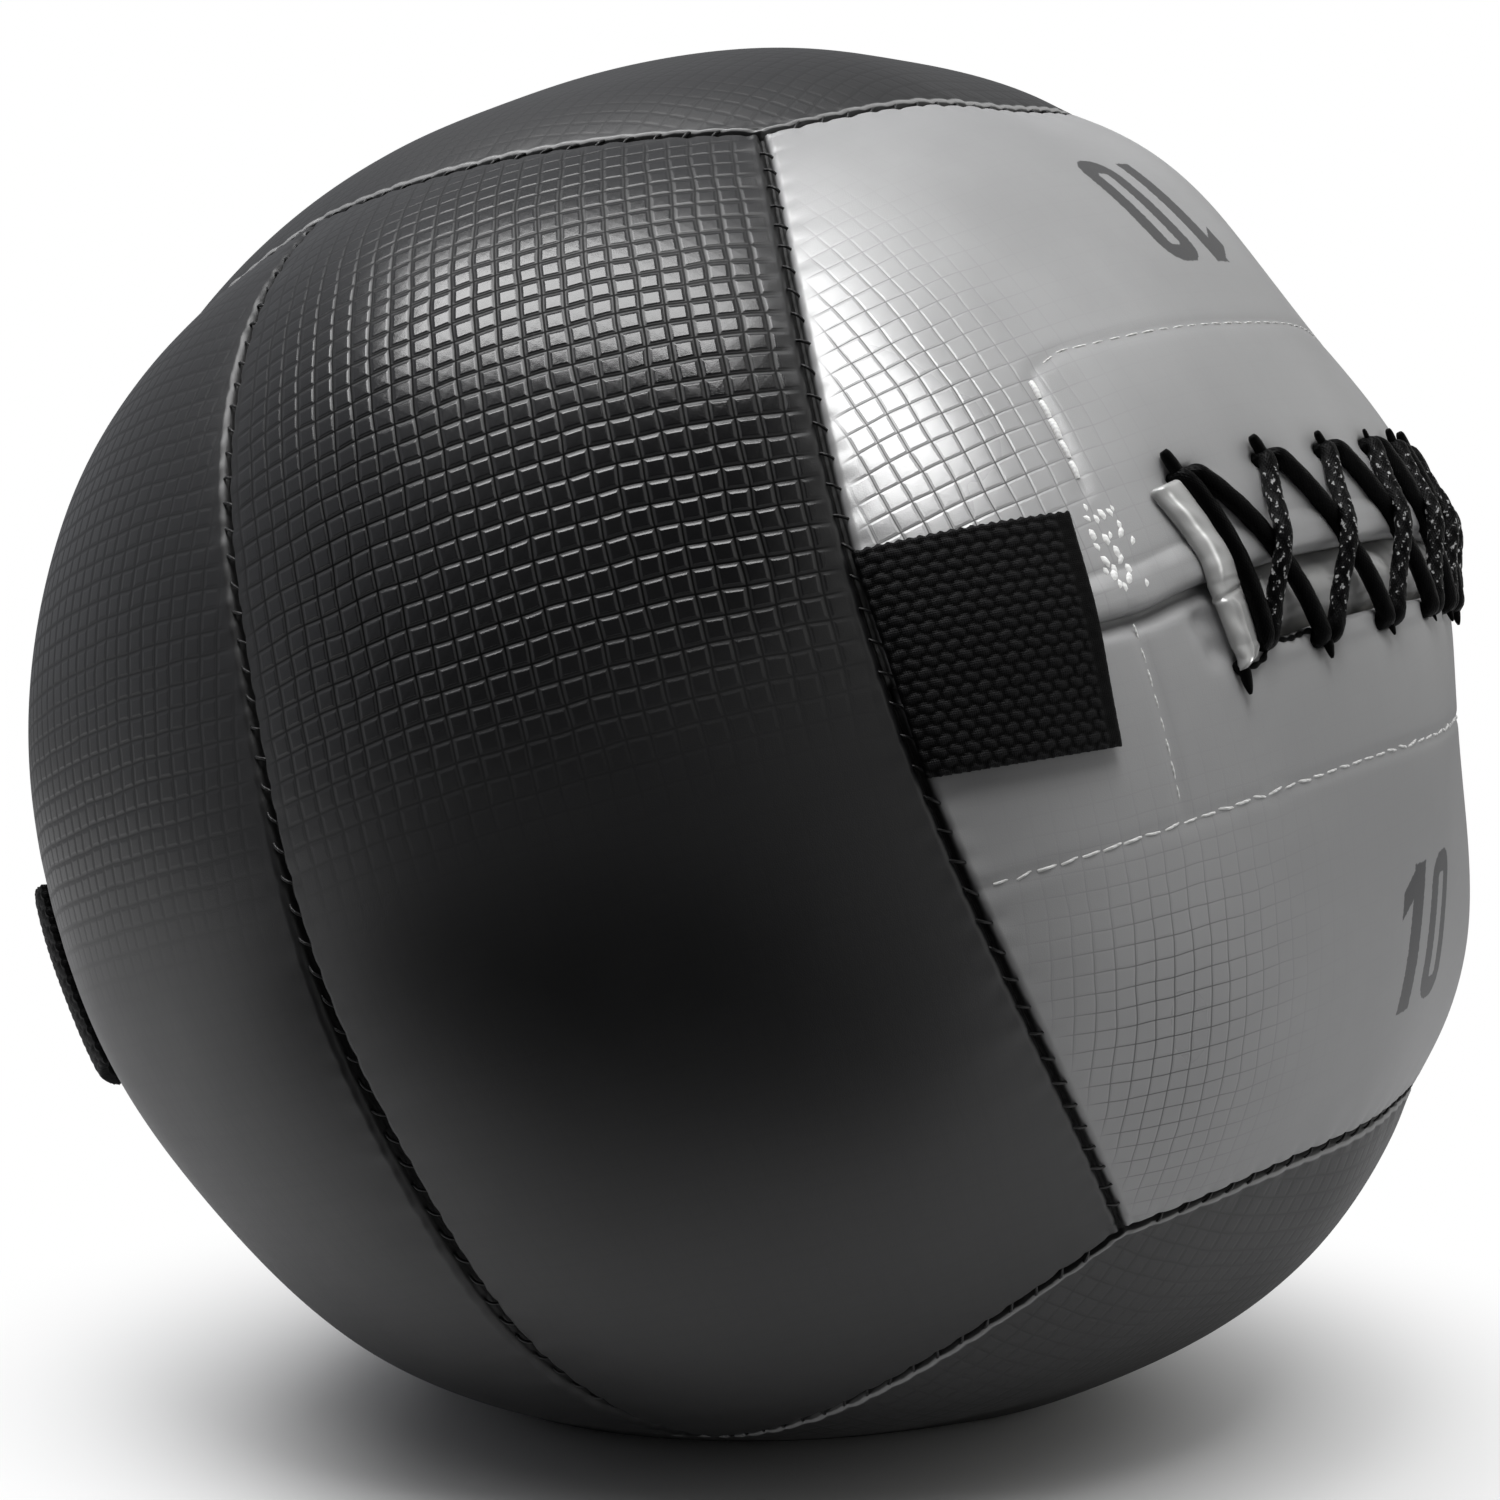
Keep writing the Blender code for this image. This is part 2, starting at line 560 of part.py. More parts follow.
def lace_route():
    """The lace's middle line: a zigzag out to the left, the end bar, and the crossing zigzag back."""
    upper, lower = hole_places()
    over_skin = LACE_RADIUS + LACE_GAP
    over_fold = over_skin + LAYER_GAP + TONGUE_THICKNESS
    cross_rise = 2 * LACE_RADIUS + LACE_GAP
    under = lace_depth()
    offset = arc(LACE_RADIUS + LACE_GAP / 2)
    foot, head, width = fold_edges()
    fold_right = foot[0] + width + offset

    def rest(azimuth, latitude):
        near_fold = azimuth < fold_right and abs(latitude) < head[1] + offset
        return over_fold if near_fold else over_skin

    def at(azimuth, latitude, height):
        return surface(direction(azimuth, latitude), -height)

    def turn(hole, inward_side):
        azimuth, latitude = hole
        stops = []
        for side, height in ((1, over_skin), (1, LACE_RADIUS - under), (TURN_SHARE, -under),
                             (-TURN_SHARE, -under), (-1, LACE_RADIUS - under), (-1, over_skin)):
            stops.append(at(azimuth + side * inward_side * offset, latitude, height))
        return stops

    def strand(start, end, start_side, end_side, over):
        first = np.array(start) + np.array([start_side * offset, 0])
        last = np.array(end) + np.array([end_side * offset, 0])
        stops = []
        for share in STRAND_SHARES:
            azimuth, latitude = first + (last - first) * share
            rise = cross_rise * math.sin(math.pi * share) ** 2 if over else 0
            stops.append(at(azimuth, latitude, rest(azimuth, latitude) + rise))
        return stops

    rows = (upper, lower)
    last_pair = HOLE_PAIRS - 1
    route = []

    def tail(hole):
        azimuth, latitude = hole
        return [at(azimuth + reach * offset, latitude, -under) for reach in TAIL_SHARES]

    # Out: from the last upper hole to the first upper hole, by way of every second lower hole
    row = 0
    for pair in range(last_pair, 0, -1):
        hole = rows[row][pair]
        if pair == last_pair:
            route += tail(hole)
            route += [at(hole[0] - offset, hole[1], -under), at(hole[0] - offset, hole[1], -SKIN_THICKNESS)]
            route += [at(hole[0] - offset, hole[1], over_skin)]
        else:
            route += turn(hole, 1)
        route += strand(hole, rows[1 - row][pair - 1], -1, 1, over=row == 0)
        row = 1 - row
    route += turn(rows[row][0], 1)

    # The end bar bows round the tongue's folded end, from one row to the other
    start = np.array(rows[row][0])
    end = np.array(rows[1 - row][0])
    for share in BAR_SHARES:
        azimuth, latitude = start + (end - start) * share
        azimuth = azimuth - offset + arc(BAR_BOW) * math.sin(math.pi * share)
        route.append(at(azimuth, latitude, rest(azimuth, latitude)))

    # Back: the crossing zigzag
    row = 1 - row
    for pair in range(0, last_pair):
        hole = rows[row][pair]
        route += turn(hole, -1)
        route += strand(hole, rows[1 - row][pair + 1], 1, -1, over=row == 1)
        row = 1 - row
    hole = rows[row][last_pair]
    route += [at(hole[0] - offset, hole[1], over_skin), at(hole[0] - offset, hole[1], -SKIN_THICKNESS)]
    route += [at(hole[0] - offset, hole[1], -under)]
    route += tail(hole)[::-1]
    return np.array(route)


def least_gap(points, radius):
    """Least gap of a tube to itself, between stretches further apart along it than a tight turn."""
    steps = np.linalg.norm(np.diff(points, axis=0), axis=1)
    fine = []
    along = []
    travelled = 0.0
    for start, end, step in zip(points[:-1], points[1:], steps):
        count = max(2, int(step / radius * 2))
        for share in np.arange(count) / count:
            fine.append(start + (end - start) * share)
            along.append(travelled + step * share)
        travelled += step
    fine = np.array(fine)
    along = np.array(along)
    apart = np.linalg.norm(fine[:, None] - fine[None], axis=-1)
    far = np.abs(along[:, None] - along[None]) > 4.5 * radius
    return (apart[far].min() - 2 * radius), travelled


def build_lace(collection, parent):
    """The lace, one unbroken round cord."""
    points = lace_route()
    gap, length = least_gap(points, LACE_RADIUS)
    print("lace: least gap to itself %.2f mm, length %.2f m" % (gap * 1000, length))
    curve = bpy.data.curves.new("lace", "CURVE")
    curve.dimensions = "3D"
    curve.bevel_depth = LACE_RADIUS
    curve.bevel_resolution = 1
    curve.use_fill_caps = True
    spline = curve.splines.new("POLY")
    spline.points.add(len(points) - 1)
    for stop, point in zip(spline.points, points):
        stop.co = (*point, 1)
    lace = bpy.data.objects.new("lace", curve)
    collection.objects.link(lace)
    lace.parent = parent
    add_material(lace, BLACK_WEBBING, LEATHER_ROUGHNESS)


def build_tabs(collection, parent):
    """The folded webbing tabs, each sewn into a face seam and lying over the face."""
    seam_azimuth = CORNER_AZIMUTH + FACE_SEAM_BOW
    places = {"tab_front_left": (-seam_azimuth, 1), "tab_front_right": (seam_azimuth, -1),
              "tab_rear_left": (seam_azimuth - 180, -1), "tab_rear_right": (180 - seam_azimuth, 1)}
    half_height = arc(TAB_HEIGHT / 2)
    for name, (seam, way) in places.items():
        root = seam + way * arc(TAB_SEAM_OFFSET)
        tip = root + way * arc(TAB_WIDTH)
        low_high = (-half_height, half_height)
        grid = patch_grid((min(root, tip), max(root, tip)), low_high, 5, 5)
        height = LAYER_GAP + TAB_THICKNESS
        hinge_point = surface(direction(root, 0.0), TAB_THICKNESS / 2 - height)
        hinge = bpy.data.objects.new(name + "_hinge", None)
        hinge.empty_display_size = TAB_THICKNESS
        hinge.parent = parent
        hinge.location = Vector(hinge_point)
        collection.objects.link(hinge)
        tab = shell(name, grid, -height, TAB_THICKNESS, collection, hinge, origin=hinge_point)
        add_material(tab, BLACK_WEBBING, WEBBING_ROUGHNESS)
        world = parent.matrix_world @ Vector(hinge_point)
        axis = parent.matrix_world.to_3x3() @ Vector((0, 0, -way))
        print(name, "hinge at", [round(value, 6) for value in world], "axis", [round(value, 6) for value in axis])


def half_ball(upper, depth):
    """An open half of a layer that follows the ball, cut at its equator."""
    bm = bmesh.new()
    bmesh.ops.create_uvsphere(bm, u_segments=24, v_segments=12, radius=1)
    sign = 1 if upper else -1
    bmesh.ops.bisect_plane(bm, geom=bm.verts[:] + bm.edges[:] + bm.faces[:], dist=CUT_SNAP,
                           plane_co=(0, 0, 0), plane_no=(0, 0, sign), clear_inner=True)
    places = np.array([vertex.co for vertex in bm.verts])
    places = places / np.linalg.norm(places, axis=1, keepdims=True)
    for vertex, point in zip(bm.verts, surface(places, depth, pillow=0, lift=CREASE_GAP)):
        vertex.co = Vector(point)
        if abs(vertex.co.z) < SEAM_GAP:
            vertex.co.z = sign * SEAM_GAP / 2
    return bm


def bag_depth():
    """Depth of the inner bag's outer side below the skin's outer side at a seam."""
    return SKIN_THICKNESS + LAYER_GAP + PAD_THICKNESS + FACET_GAP


def build_bag(collection, parent):
    """The inner bag, sewn from two halves, which holds the filling."""
    for name, upper in (("inner_bag_upper", True), ("inner_bag_lower", False)):
        bag = add_object(name, half_ball(upper, bag_depth()), collection, parent)
        solidify(bag, BAG_THICKNESS)
        add_material(bag, CLOTH_COLOUR, CLOTH_ROUGHNESS)


def sphere(name, radius, collection, parent):
    """A closed ball round the centre."""
    bm = bmesh.new()
    bmesh.ops.create_uvsphere(bm, u_segments=20, v_segments=10, radius=radius)
    return add_object(name, bm, collection, parent)


def build_filling(collection, cutters, parent):
    """The textile filling in two halves, the weight bag in its middle and the shot in that."""
    hollow = sphere("hollow_cutter", WEIGHT_BAG_RADIUS + LAYER_GAP, cutters, parent)
    hide_cutter(hollow)
    depth = bag_depth() + BAG_THICKNESS + LAYER_GAP
    for name, upper in (("filling_upper", True), ("filling_lower", False)):
        bm = half_ball(upper, depth)
        rim = [edge for edge in bm.edges if edge.is_boundary]
        bmesh.ops.contextual_create(bm, geom=rim)
        filling = add_object(name, bm, collection, parent)
        boolean(filling, hollow, "DIFFERENCE")
        add_material(filling, FILLING_COLOUR, CLOTH_ROUGHNESS)

    for name, sign in (("weight_bag_upper", 1), ("weight_bag_lower", -1)):
        bm = bmesh.new()
        bmesh.ops.create_uvsphere(bm, u_segments=20, v_segments=10, radius=WEIGHT_BAG_RADIUS)
        bmesh.ops.bisect_plane(bm, geom=bm.verts[:] + bm.edges[:] + bm.faces[:], dist=CUT_SNAP,
                               plane_co=(0, 0, sign * SEAM_GAP / 2), plane_no=(0, 0, sign), clear_inner=True)
        half = add_object(name, bm, collection, parent)
        solidify(half, WEIGHT_BAG_THICKNESS)
        add_material(half, BLACK_WEBBING, WEBBING_ROUGHNESS)
    shot = sphere("shot", WEIGHT_BAG_RADIUS - WEIGHT_BAG_THICKNESS - LAYER_GAP, collection, parent)
    add_material(shot, SHOT_COLOUR, WEBBING_ROUGHNESS)


def ball_pose(collection):
    """The empty that leans the ball's frame so that its contact direction points down, and lifts it."""
    contact = Vector(CONTACT)
    lean = contact.rotation_difference(Vector((0, 0, -1)))
    pose = bpy.data.objects.new("ball_pose", None)
    pose.empty_display_size = BALL_RADIUS
    pose.rotation_mode = "QUATERNION"
    pose.rotation_quaternion = lean
    pose.location = (0, 0, CENTRE_HEIGHT)
    collection.objects.link(pose)
    bpy.context.view_layer.update()
    return pose


def build():
    """The whole ball."""
    clear_scene()
    ball = new_collection("wall_ball")
    cutters = new_collection("cutters")
    pose = ball_pose(ball)
    notch, holes, window = build_cutters(cutters, pose)
    build_skin(ball, pose, notch, holes)
    build_pads(ball, pose, window)
    build_facings(ball, pose, notch, holes)
    build_tongue(ball, cutters, pose)
    build_lace(ball, pose)
    build_tabs(ball, pose)
    build_bag(ball, pose)
    build_filling(ball, cutters, pose)


build()
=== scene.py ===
"""A laced, weighted wall ball in black and gray embossed leather, lying on a pale floor."""

import math

import bpy
import numpy as np
from mathutils import Matrix, Vector


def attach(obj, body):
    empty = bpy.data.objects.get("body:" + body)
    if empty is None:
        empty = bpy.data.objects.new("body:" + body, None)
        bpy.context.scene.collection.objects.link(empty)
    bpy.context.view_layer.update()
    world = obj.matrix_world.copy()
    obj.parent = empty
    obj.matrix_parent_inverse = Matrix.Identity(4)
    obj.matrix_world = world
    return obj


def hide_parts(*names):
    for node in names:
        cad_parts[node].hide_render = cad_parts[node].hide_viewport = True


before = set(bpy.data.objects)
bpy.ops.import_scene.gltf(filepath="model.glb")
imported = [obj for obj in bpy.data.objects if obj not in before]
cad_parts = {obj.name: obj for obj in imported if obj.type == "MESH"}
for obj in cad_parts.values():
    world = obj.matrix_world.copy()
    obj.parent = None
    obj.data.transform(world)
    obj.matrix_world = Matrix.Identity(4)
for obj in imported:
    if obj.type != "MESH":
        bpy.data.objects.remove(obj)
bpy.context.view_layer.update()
scene = bpy.context.scene

# How the ball lies: on one side of its bottom cap, so that its axis leans over. Every piece is worked out in
# the ball's own frame, its caps along Z and its laced face towards -Y, and then leaned and lifted.
BALL_RADIUS = 0.175
CENTRE_HEIGHT = 0.160
CONTACT_AZIMUTH, CONTACT_LATITUDE = -165.0, -71.0


def new_object(name, data):
    """An object of the scene that holds the given mesh, lamp or camera."""
    made = bpy.data.objects.new(name, data)
    scene.collection.objects.link(made)
    return made


def direction(azimuth, latitude):
    """Unit vectors: azimuth from the middle of the laced face, positive to +X, and latitude, in degrees."""
    azimuth, latitude = np.broadcast_arrays(np.radians(azimuth), np.radians(latitude))
    flat = np.cos(latitude)
    return np.stack([flat * np.sin(azimuth), -flat * np.cos(azimuth), np.sin(latitude)], axis=-1)


contact = direction(CONTACT_AZIMUTH, CONTACT_LATITUDE)
lean = np.array(Vector(contact).rotation_difference(Vector((0, 0, -1))).to_matrix())
ball_centre = np.array([0, 0, CENTRE_HEIGHT])


def to_floor(points):
    """Points of the ball's own frame, leaned over and lifted onto the floor."""
    return points @ lean.T + ball_centre


# The camera looks at the seam between the black side and the laced gray face, level and from close by.
CAMERA_AZIMUTH, CAMERA_ELEVATION, CAMERA_ROLL = -56.93, -3.08, -18.07
CAMERA_DISTANCE = 0.65366
CAMERA_LENS = 61.918
back = direction(CAMERA_AZIMUTH, CAMERA_ELEVATION)
level = np.array([math.cos(math.radians(CAMERA_AZIMUTH)), math.sin(math.radians(CAMERA_AZIMUTH)), 0])
upright = np.cross(back, level)
turn = math.radians(CAMERA_ROLL)
side = level * math.cos(turn) + upright * math.sin(turn)
top = upright * math.cos(turn) - level * math.sin(turn)
camera_data = bpy.data.cameras.new("camera")
camera_data.lens = CAMERA_LENS
camera_data.shift_x = -0.0079
camera_data.shift_y = 0.0112
camera = new_object("camera", camera_data)
columns = np.stack([lean @ side, lean @ top, lean @ back, to_floor(back * CAMERA_DISTANCE)], axis=1)
camera.matrix_world = Matrix([*columns.tolist(), [0, 0, 0, 1]])
scene.camera = camera

# The skin's form: a ball that has sagged a little, with broad swells where the filling has gathered. Each
# panel swells between its seams, turns down into them, and is drawn in at every stitch of the seam.
SWELL_SHARES = (
    (130, 30, 20, 0.012), (60, -20, 22, -0.01), (-130, 17, 16, 0.0035), (-132, -3, 16, 0.0021),
    (-131, -22, 16, -0.0237), (-129, -41, 16, -0.0167), (-121, -60, 16, -0.0415), (-89, -75, 16, -0.0526),
    (-14, -73, 16, -0.0245), (9, -56, 16, 0.0144), (16, -37, 16, 0.0102), (18, -18, 16, -0.0459),
    (17, 1, 16, 0.0017), (15, 20, 16, -0.0344), (10, 39, 16, 0.0064), (-2, 57, 16, -0.0035),
    (-34, 70, 16, -0.0229), (-89, 68, 16, -0.0108), (-116, 53, 16, 0.0011), (-125, 35, 16, 0.0168),
)
PILLOW_HEIGHT = 0.0028
PILLOW_WIDTH = 0.045
SKIN_THICKNESS = 0.0012
SEAM_DEPTH = 0.0026
SEAM_ROLL = 0.0018
STITCH_PITCH = 0.0063
STITCH_PULL, STITCH_SLACK, STITCH_REACH = 0.00045, 0.00018, 0.0034
RIPPLE_HEIGHT, RIPPLE_REACH = 0.00012, 0.011
draws = np.random.RandomState(11)
sag_ways = draws.normal(size=(16, 3))
sag_ways *= (2 * math.pi * BALL_RADIUS / draws.uniform(0.05, 0.13, 16)
             / np.linalg.norm(sag_ways, axis=1))[:, None]
sag_starts = draws.uniform(0, 2 * math.pi, 16)
SAG_HEIGHT = 0.00022


def smooth(value, low, high):
    """0 below low and 1 above high, with a smooth rise between them."""
    share = np.clip((value - low) / (high - low), 0, 1)
    return share * share * (3 - 2 * share)


def bell(value, width):
    """1 where the value is nought, falling off smoothly over the width."""
    return np.exp(-(value / width) ** 2)


def rounding(share):
    """How far a rounded edge has turned down, from 0 to 1, at a share of its way outward."""
    return 1 - np.sqrt(1 - share ** 2)


def pillow(run):
    """How far a panel has swelled at a distance from its seam, from 0 to 1."""
    return 1 - (1 - np.clip(run / PILLOW_WIDTH, 0, 1)) ** 2


def unit(vectors):
    """The vectors' directions."""
    return vectors / np.linalg.norm(vectors, axis=-1, keepdims=True)


def quad_corners(grid):
    """The four corners of every quad of a grid, anticlockwise."""
    return grid[:-1, :-1], grid[1:, :-1], grid[1:, 1:], grid[:-1, 1:]


def run_along(points, scale=1.0):
    """Distance of each point from the first, along the line of points."""
    return np.concatenate([[0], np.cumsum(np.linalg.norm(np.diff(points, axis=0), axis=1) * scale)])


def form(directions):
    """Radius of the soft body, before the panels' own swelling."""
    swell = np.ones(directions.shape[:-1])
    for azimuth, latitude, spread, share in SWELL_SHARES:
        angle = np.degrees(np.arccos(np.clip(directions @ direction(azimuth, latitude), -1, 1)))
        swell = swell + share * bell(angle, spread)
    sag = np.sin(directions @ sag_ways.T + sag_starts).sum(axis=-1) * SAG_HEIGHT
    return BALL_RADIUS * swell + sag


FLOOR_CREASE, LEAST_DOWN = 0.002, 0.05


def rest(directions, radius, depth=0.0):
    """Points in the given directions, pressed flat on the floor with a soft crease round it."""
    down = directions @ contact
    floor_radius = (CENTRE_HEIGHT - depth) / np.maximum(down, LEAST_DOWN)
    gap = radius - floor_radius
    pressed = floor_radius + (gap - np.sqrt(gap ** 2 + FLOOR_CREASE ** 2)) / 2
    return to_floor(directions * np.where(down > LEAST_DOWN, pressed, radius)[..., None])


CORNER_AZIMUTH, CORNER_LATITUDE, FACE_BOW = 38.0, 43.5, 9.8
MIDDLE_AZIMUTH, MIDDLE_SWEEP, MIDDLE_SWING, MIDDLE_LATITUDE, CAP_BOW = 90.0, 5.0, 14.0, 57.5, 1.5


def face_seam(up):
    """Azimuth and latitude along a seam beside a face, from -1 below to 1 above."""
    return CORNER_AZIMUTH + FACE_BOW * (1 - up ** 2), CORNER_LATITUDE * up


def middle_seam(up):
    """Azimuth and latitude along the seam in the middle of a side, from -1 below to 1 above."""
    below = np.maximum(-up, 0)
    azimuth = MIDDLE_AZIMUTH + MIDDLE_SWEEP * up ** 2 + MIDDLE_SWING * below ** 2 * (1 - below)
    return azimuth, MIDDLE_LATITUDE * up


def side_point(across, up, rear):
    """Azimuth and latitude in a side panel, across from its middle seam to its face seam."""
    face_azimuth, face_latitude = face_seam(up)
    middle_azimuth, middle_latitude = middle_seam(up)
    face_azimuth = 180 - face_azimuth if rear else face_azimuth
    latitude = middle_latitude + (face_latitude - middle_latitude) * across
    return (middle_azimuth + (face_azimuth - middle_azimuth) * across,
            latitude + CAP_BOW * np.sin(np.pi * across) * up ** 3)


def shares(length, coarse=0.0019, fine=0.0003, growth=1.17, turned=0.0038):
    """Shares along a width, close together near both ends, where the leather turns into the seams."""
    places, step = [0.0], fine
    while places[-1] < length / 2:
        if places[-1] > turned:
            step = min(step * growth, coarse)
        places.append(places[-1] + step)
    half = np.array(places) / places[-1] / 2
    return np.concatenate([half, 1 - half[-2::-1]])


def edge_runs(directions):
    """Distances in metres from a panel's left, right, lower and upper edge, along rows and columns."""
    across = np.linalg.norm(np.diff(directions, axis=0), axis=-1) * BALL_RADIUS
    upwards = np.linalg.norm(np.diff(directions, axis=1), axis=-1) * BALL_RADIUS
    left = np.concatenate([np.zeros((1, directions.shape[1])), np.cumsum(across, axis=0)])
    lower = np.concatenate([np.zeros((directions.shape[0], 1)), np.cumsum(upwards, axis=1)], axis=1)
    return left, left[-1:] - left, lower, lower[:, -1:] - lower


TIGHT_GAP, GAPING, FACE_GAP = 0.0004, 0.0011, 0.0005


def half_gap(kind, along):
    """Half the width of the groove at a seam, which gapes in the lower half of the sides' middle seams."""
    if kind == "middle":
        return TIGHT_GAP + GAPING * smooth(-along, -0.01, 0.07)
    return FACE_GAP


def sewn(directions, seams):
    """Radius of a panel's outer side, its distance from the nearest groove, and its runs from the edges.

    Seams gives, for the left, right, lower and upper edge, the kind of seam and where its stitches are
    counted from, or None where the panel isn't sewn to another.
    """
    runs = edge_runs(directions)
    radius = form(directions)
    hollow = np.ones(radius.shape)
    groove, pull = np.zeros(radius.shape), np.zeros(radius.shape)
    nearest = np.full(radius.shape, 1.0)
    for place, seam in enumerate(seams):
        if seam is None:
            continue
        kind, origin = seam
        run = runs[place]
        hollow *= pillow(run)
        line = [(2, 0), (2, -1), (0, 0), (0, -1)][place]
        along = runs[2][[line[1]]] if place < 2 else runs[0][:, [line[1]]]
        if origin == "equator":
            origin = np.interp(0, directions[line[1], :, 2], along[0])
        along = along - {"middle": along.max() / 2, "start": 0, "end": along.max()}.get(origin, origin)
        beyond = run - half_gap(kind, along)
        turned = np.clip(1 - beyond / SEAM_ROLL, 0, 1)
        groove = np.maximum(groove, SEAM_DEPTH * rounding(turned))
        phase = 2 * math.pi * along / STITCH_PITCH
        drawn = (0.5 + 0.5 * np.cos(phase)) ** 3
        pull += (STITCH_PULL * drawn - STITCH_SLACK) * bell(np.maximum(beyond, 0), STITCH_REACH)
        ripple = np.cos(phase / 2 + 1.3 * np.sin(along * 60)) * (0.6 + 0.4 * np.sin(along * 95 + place * 2))
        pull += RIPPLE_HEIGHT * ripple * bell(np.maximum(beyond, 0), RIPPLE_REACH)
        nearest = np.minimum(nearest, beyond)
    return radius + PILLOW_HEIGHT * hollow - groove - pull, nearest, runs


def cut_places(directions, middle, angle=0.0, stretch=1.0):
    """Each direction's place on the flat cut leather, in metres from the middle, and turned by an angle."""
    outward, level = direction(*middle), direction(middle[0] + 90, 0)
    across, up = directions @ level, directions @ np.cross(outward, level)
    reach = np.arccos(np.clip(directions @ outward, -1, 1)) / np.maximum(np.hypot(across, up), 1e-9)
    across, up = across * reach * BALL_RADIUS * stretch, up * reach * BALL_RADIUS * stretch
    cosine, sine = math.cos(math.radians(angle)), math.sin(math.radians(angle))
    return np.stack([across * cosine + up * sine, up * cosine - across * sine], axis=-1)


def sheet(name, outer, inner, cut, values=(), maps=(), kept=None):
    """A closed skin between an outer and an inner grid of points, given left to right and bottom to top.

    Its first UV map is the place on the cut leather, and values are further measures of each point. Where
    only some of the grid's quads are kept, the skin's open edges are closed too.
    """
    wide, high = outer.shape[:2]
    count = wide * high
    index = np.arange(count).reshape(wide, high)
    quads = np.stack(quad_corners(index), axis=-1)
    quads = quads.reshape(-1, 4) if kept is None else quads[kept]
    starts, ends = quads.ravel(), np.roll(quads, -1, axis=1).ravel()
    bare = ~np.isin(ends * count + starts, starts * count + ends)
    starts, ends = starts[bare], ends[bare]
    rims = np.stack([ends, starts, starts + count, ends + count], axis=-1)
    faces = np.concatenate([quads, quads[:, ::-1] + count, rims])
    used, corners = np.unique(faces.ravel(), return_inverse=True)
    mesh = bpy.data.meshes.new(name)
    mesh.vertices.add(len(used))
    points = np.concatenate([outer.reshape(-1, 3), inner.reshape(-1, 3)])
    mesh.vertices.foreach_set("co", points[used].ravel())
    mesh.loops.add(faces.size)
    mesh.loops.foreach_set("vertex_index", corners)
    mesh.polygons.add(len(faces))
    mesh.polygons.foreach_set("loop_start", np.arange(len(faces)) * 4)
    mesh.update(calc_edges=True)
    mesh.shade_smooth()
    for layer_name, place in (("cut", cut), *maps):
        layer = mesh.uv_layers.new(name=layer_name)
        layer.data.foreach_set("uv", np.concatenate([place.reshape(-1, 2)] * 2)[faces.ravel()].ravel())
    for value_name, value in values:
        attribute = mesh.attributes.new(value_name, "FLOAT", "POINT")
        attribute.data.foreach_set("value", np.concatenate([value.ravel()] * 2)[used])
    return new_object(name, mesh)


def fit(piece, material, replaced, body="ball"):
    """Gives a piece its material, the body that it rides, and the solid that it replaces."""
    piece.data.materials.append(material)
    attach(piece, body)
    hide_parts(replaced)


# Embossed leather: polyurethane on a cloth backing, pressed with a grid of small raised squares. The
# squares are smooth and shine; the grooves between them are dull, with painted shade, a thin dark line, in
# their middle.
EMBOSS_PITCH = 0.0047


class Wiring:
    """Short ways to add and join the nodes of one tree."""

    def __init__(self, tree):
        self.tree = tree

    def add(self, kind, settings=None, **links):
        """A node with the given settings, whose inputs are values or other nodes' outputs."""
        node = self.tree.nodes.new(kind)
        for key, value in (settings or {}).items():
            setattr(node, key, value)
        self.feed(node, **links)
        return node

    def feed(self, node, **links):
        """Gives a node's inputs, named or by number as i0 and so on, values or other nodes' outputs."""
        for key, value in links.items():
            socket = node.inputs[int(key[1:]) if key[1:].isdigit() else key.replace("_", " ")]
            if isinstance(value, bpy.types.NodeSocket):
                self.tree.links.new(value, socket)
            else:
                socket.default_value = value

    def vector(self, operation, first, second=(0, 0, 0), output=0, **links):
        """An output of a Vector Math node."""
        node = self.add("ShaderNodeVectorMath", {"operation": operation}, i0=first, i1=second, **links)
        return node.outputs[output]

    def uv(self, name="cut"):
        """The place on a UV map."""
        return self.make("ShaderNodeUVMap", {"uv_map": name})

    def solid(self):
        """The place in the object's space."""
        return self.add("ShaderNodeTexCoord").outputs["Object"]

    def value(self, name):
        """A value that the mesh keeps at each of its points."""
        return self.add("ShaderNodeAttribute", {"attribute_name": name}).outputs["Fac"]

    def bump(self, height):
        """The way the surface faces, with a height in metres added to it."""
        return self.make("ShaderNodeBump", Height=height, Strength=1.0, Distance=1.0)

    def times(self, first, *others):
        """The product of values."""
        for other in others:
            first = self.math("MULTIPLY", first, other)
        return first

    def plus(self, first, second):
        """The sum of two values."""
        return self.math("ADD", first, second)

    def minus(self, first, second):
        """The difference of two values."""
        return self.math("SUBTRACT", first, second)

    def make(self, kind, settings=None, **links):
        """The first output of a new node."""
        return self.add(kind, settings, **links).outputs[0]

    def random(self, seed, low, high):
        """A number between low and high for each point."""
        node = self.add("FunctionNodeRandomValue", {"data_type": "FLOAT"}, Seed=seed, i2=low, i3=high)
        return node.outputs[1]

    def math(self, operation, first, second=0.0, third=0.0):
        """The output of a Math node."""
        return self.make("ShaderNodeMath", {"operation": operation}, i0=first, i1=second, i2=third)

    def ramp(self, value, low, high, start=0.0, end=1.0):
        """A smooth step of a value from start to end."""
        return self.make("ShaderNodeMapRange", {"interpolation_type": "SMOOTHSTEP"}, Value=value,
                         From_Min=low, From_Max=high, To_Min=start, To_Max=end)

    def mix(self, factor, first, second):
        """A mix of two colours."""
        return self.add("ShaderNodeMix", {"data_type": "RGBA"}, i0=factor, i6=first, i7=second).outputs[2]

    def noise(self, place, scale, detail=2.0, roughness=0.5):
        """The height of a Noise node."""
        return self.make("ShaderNodeTexNoise", Vector=place, Scale=scale, Detail=detail, Roughness=roughness)


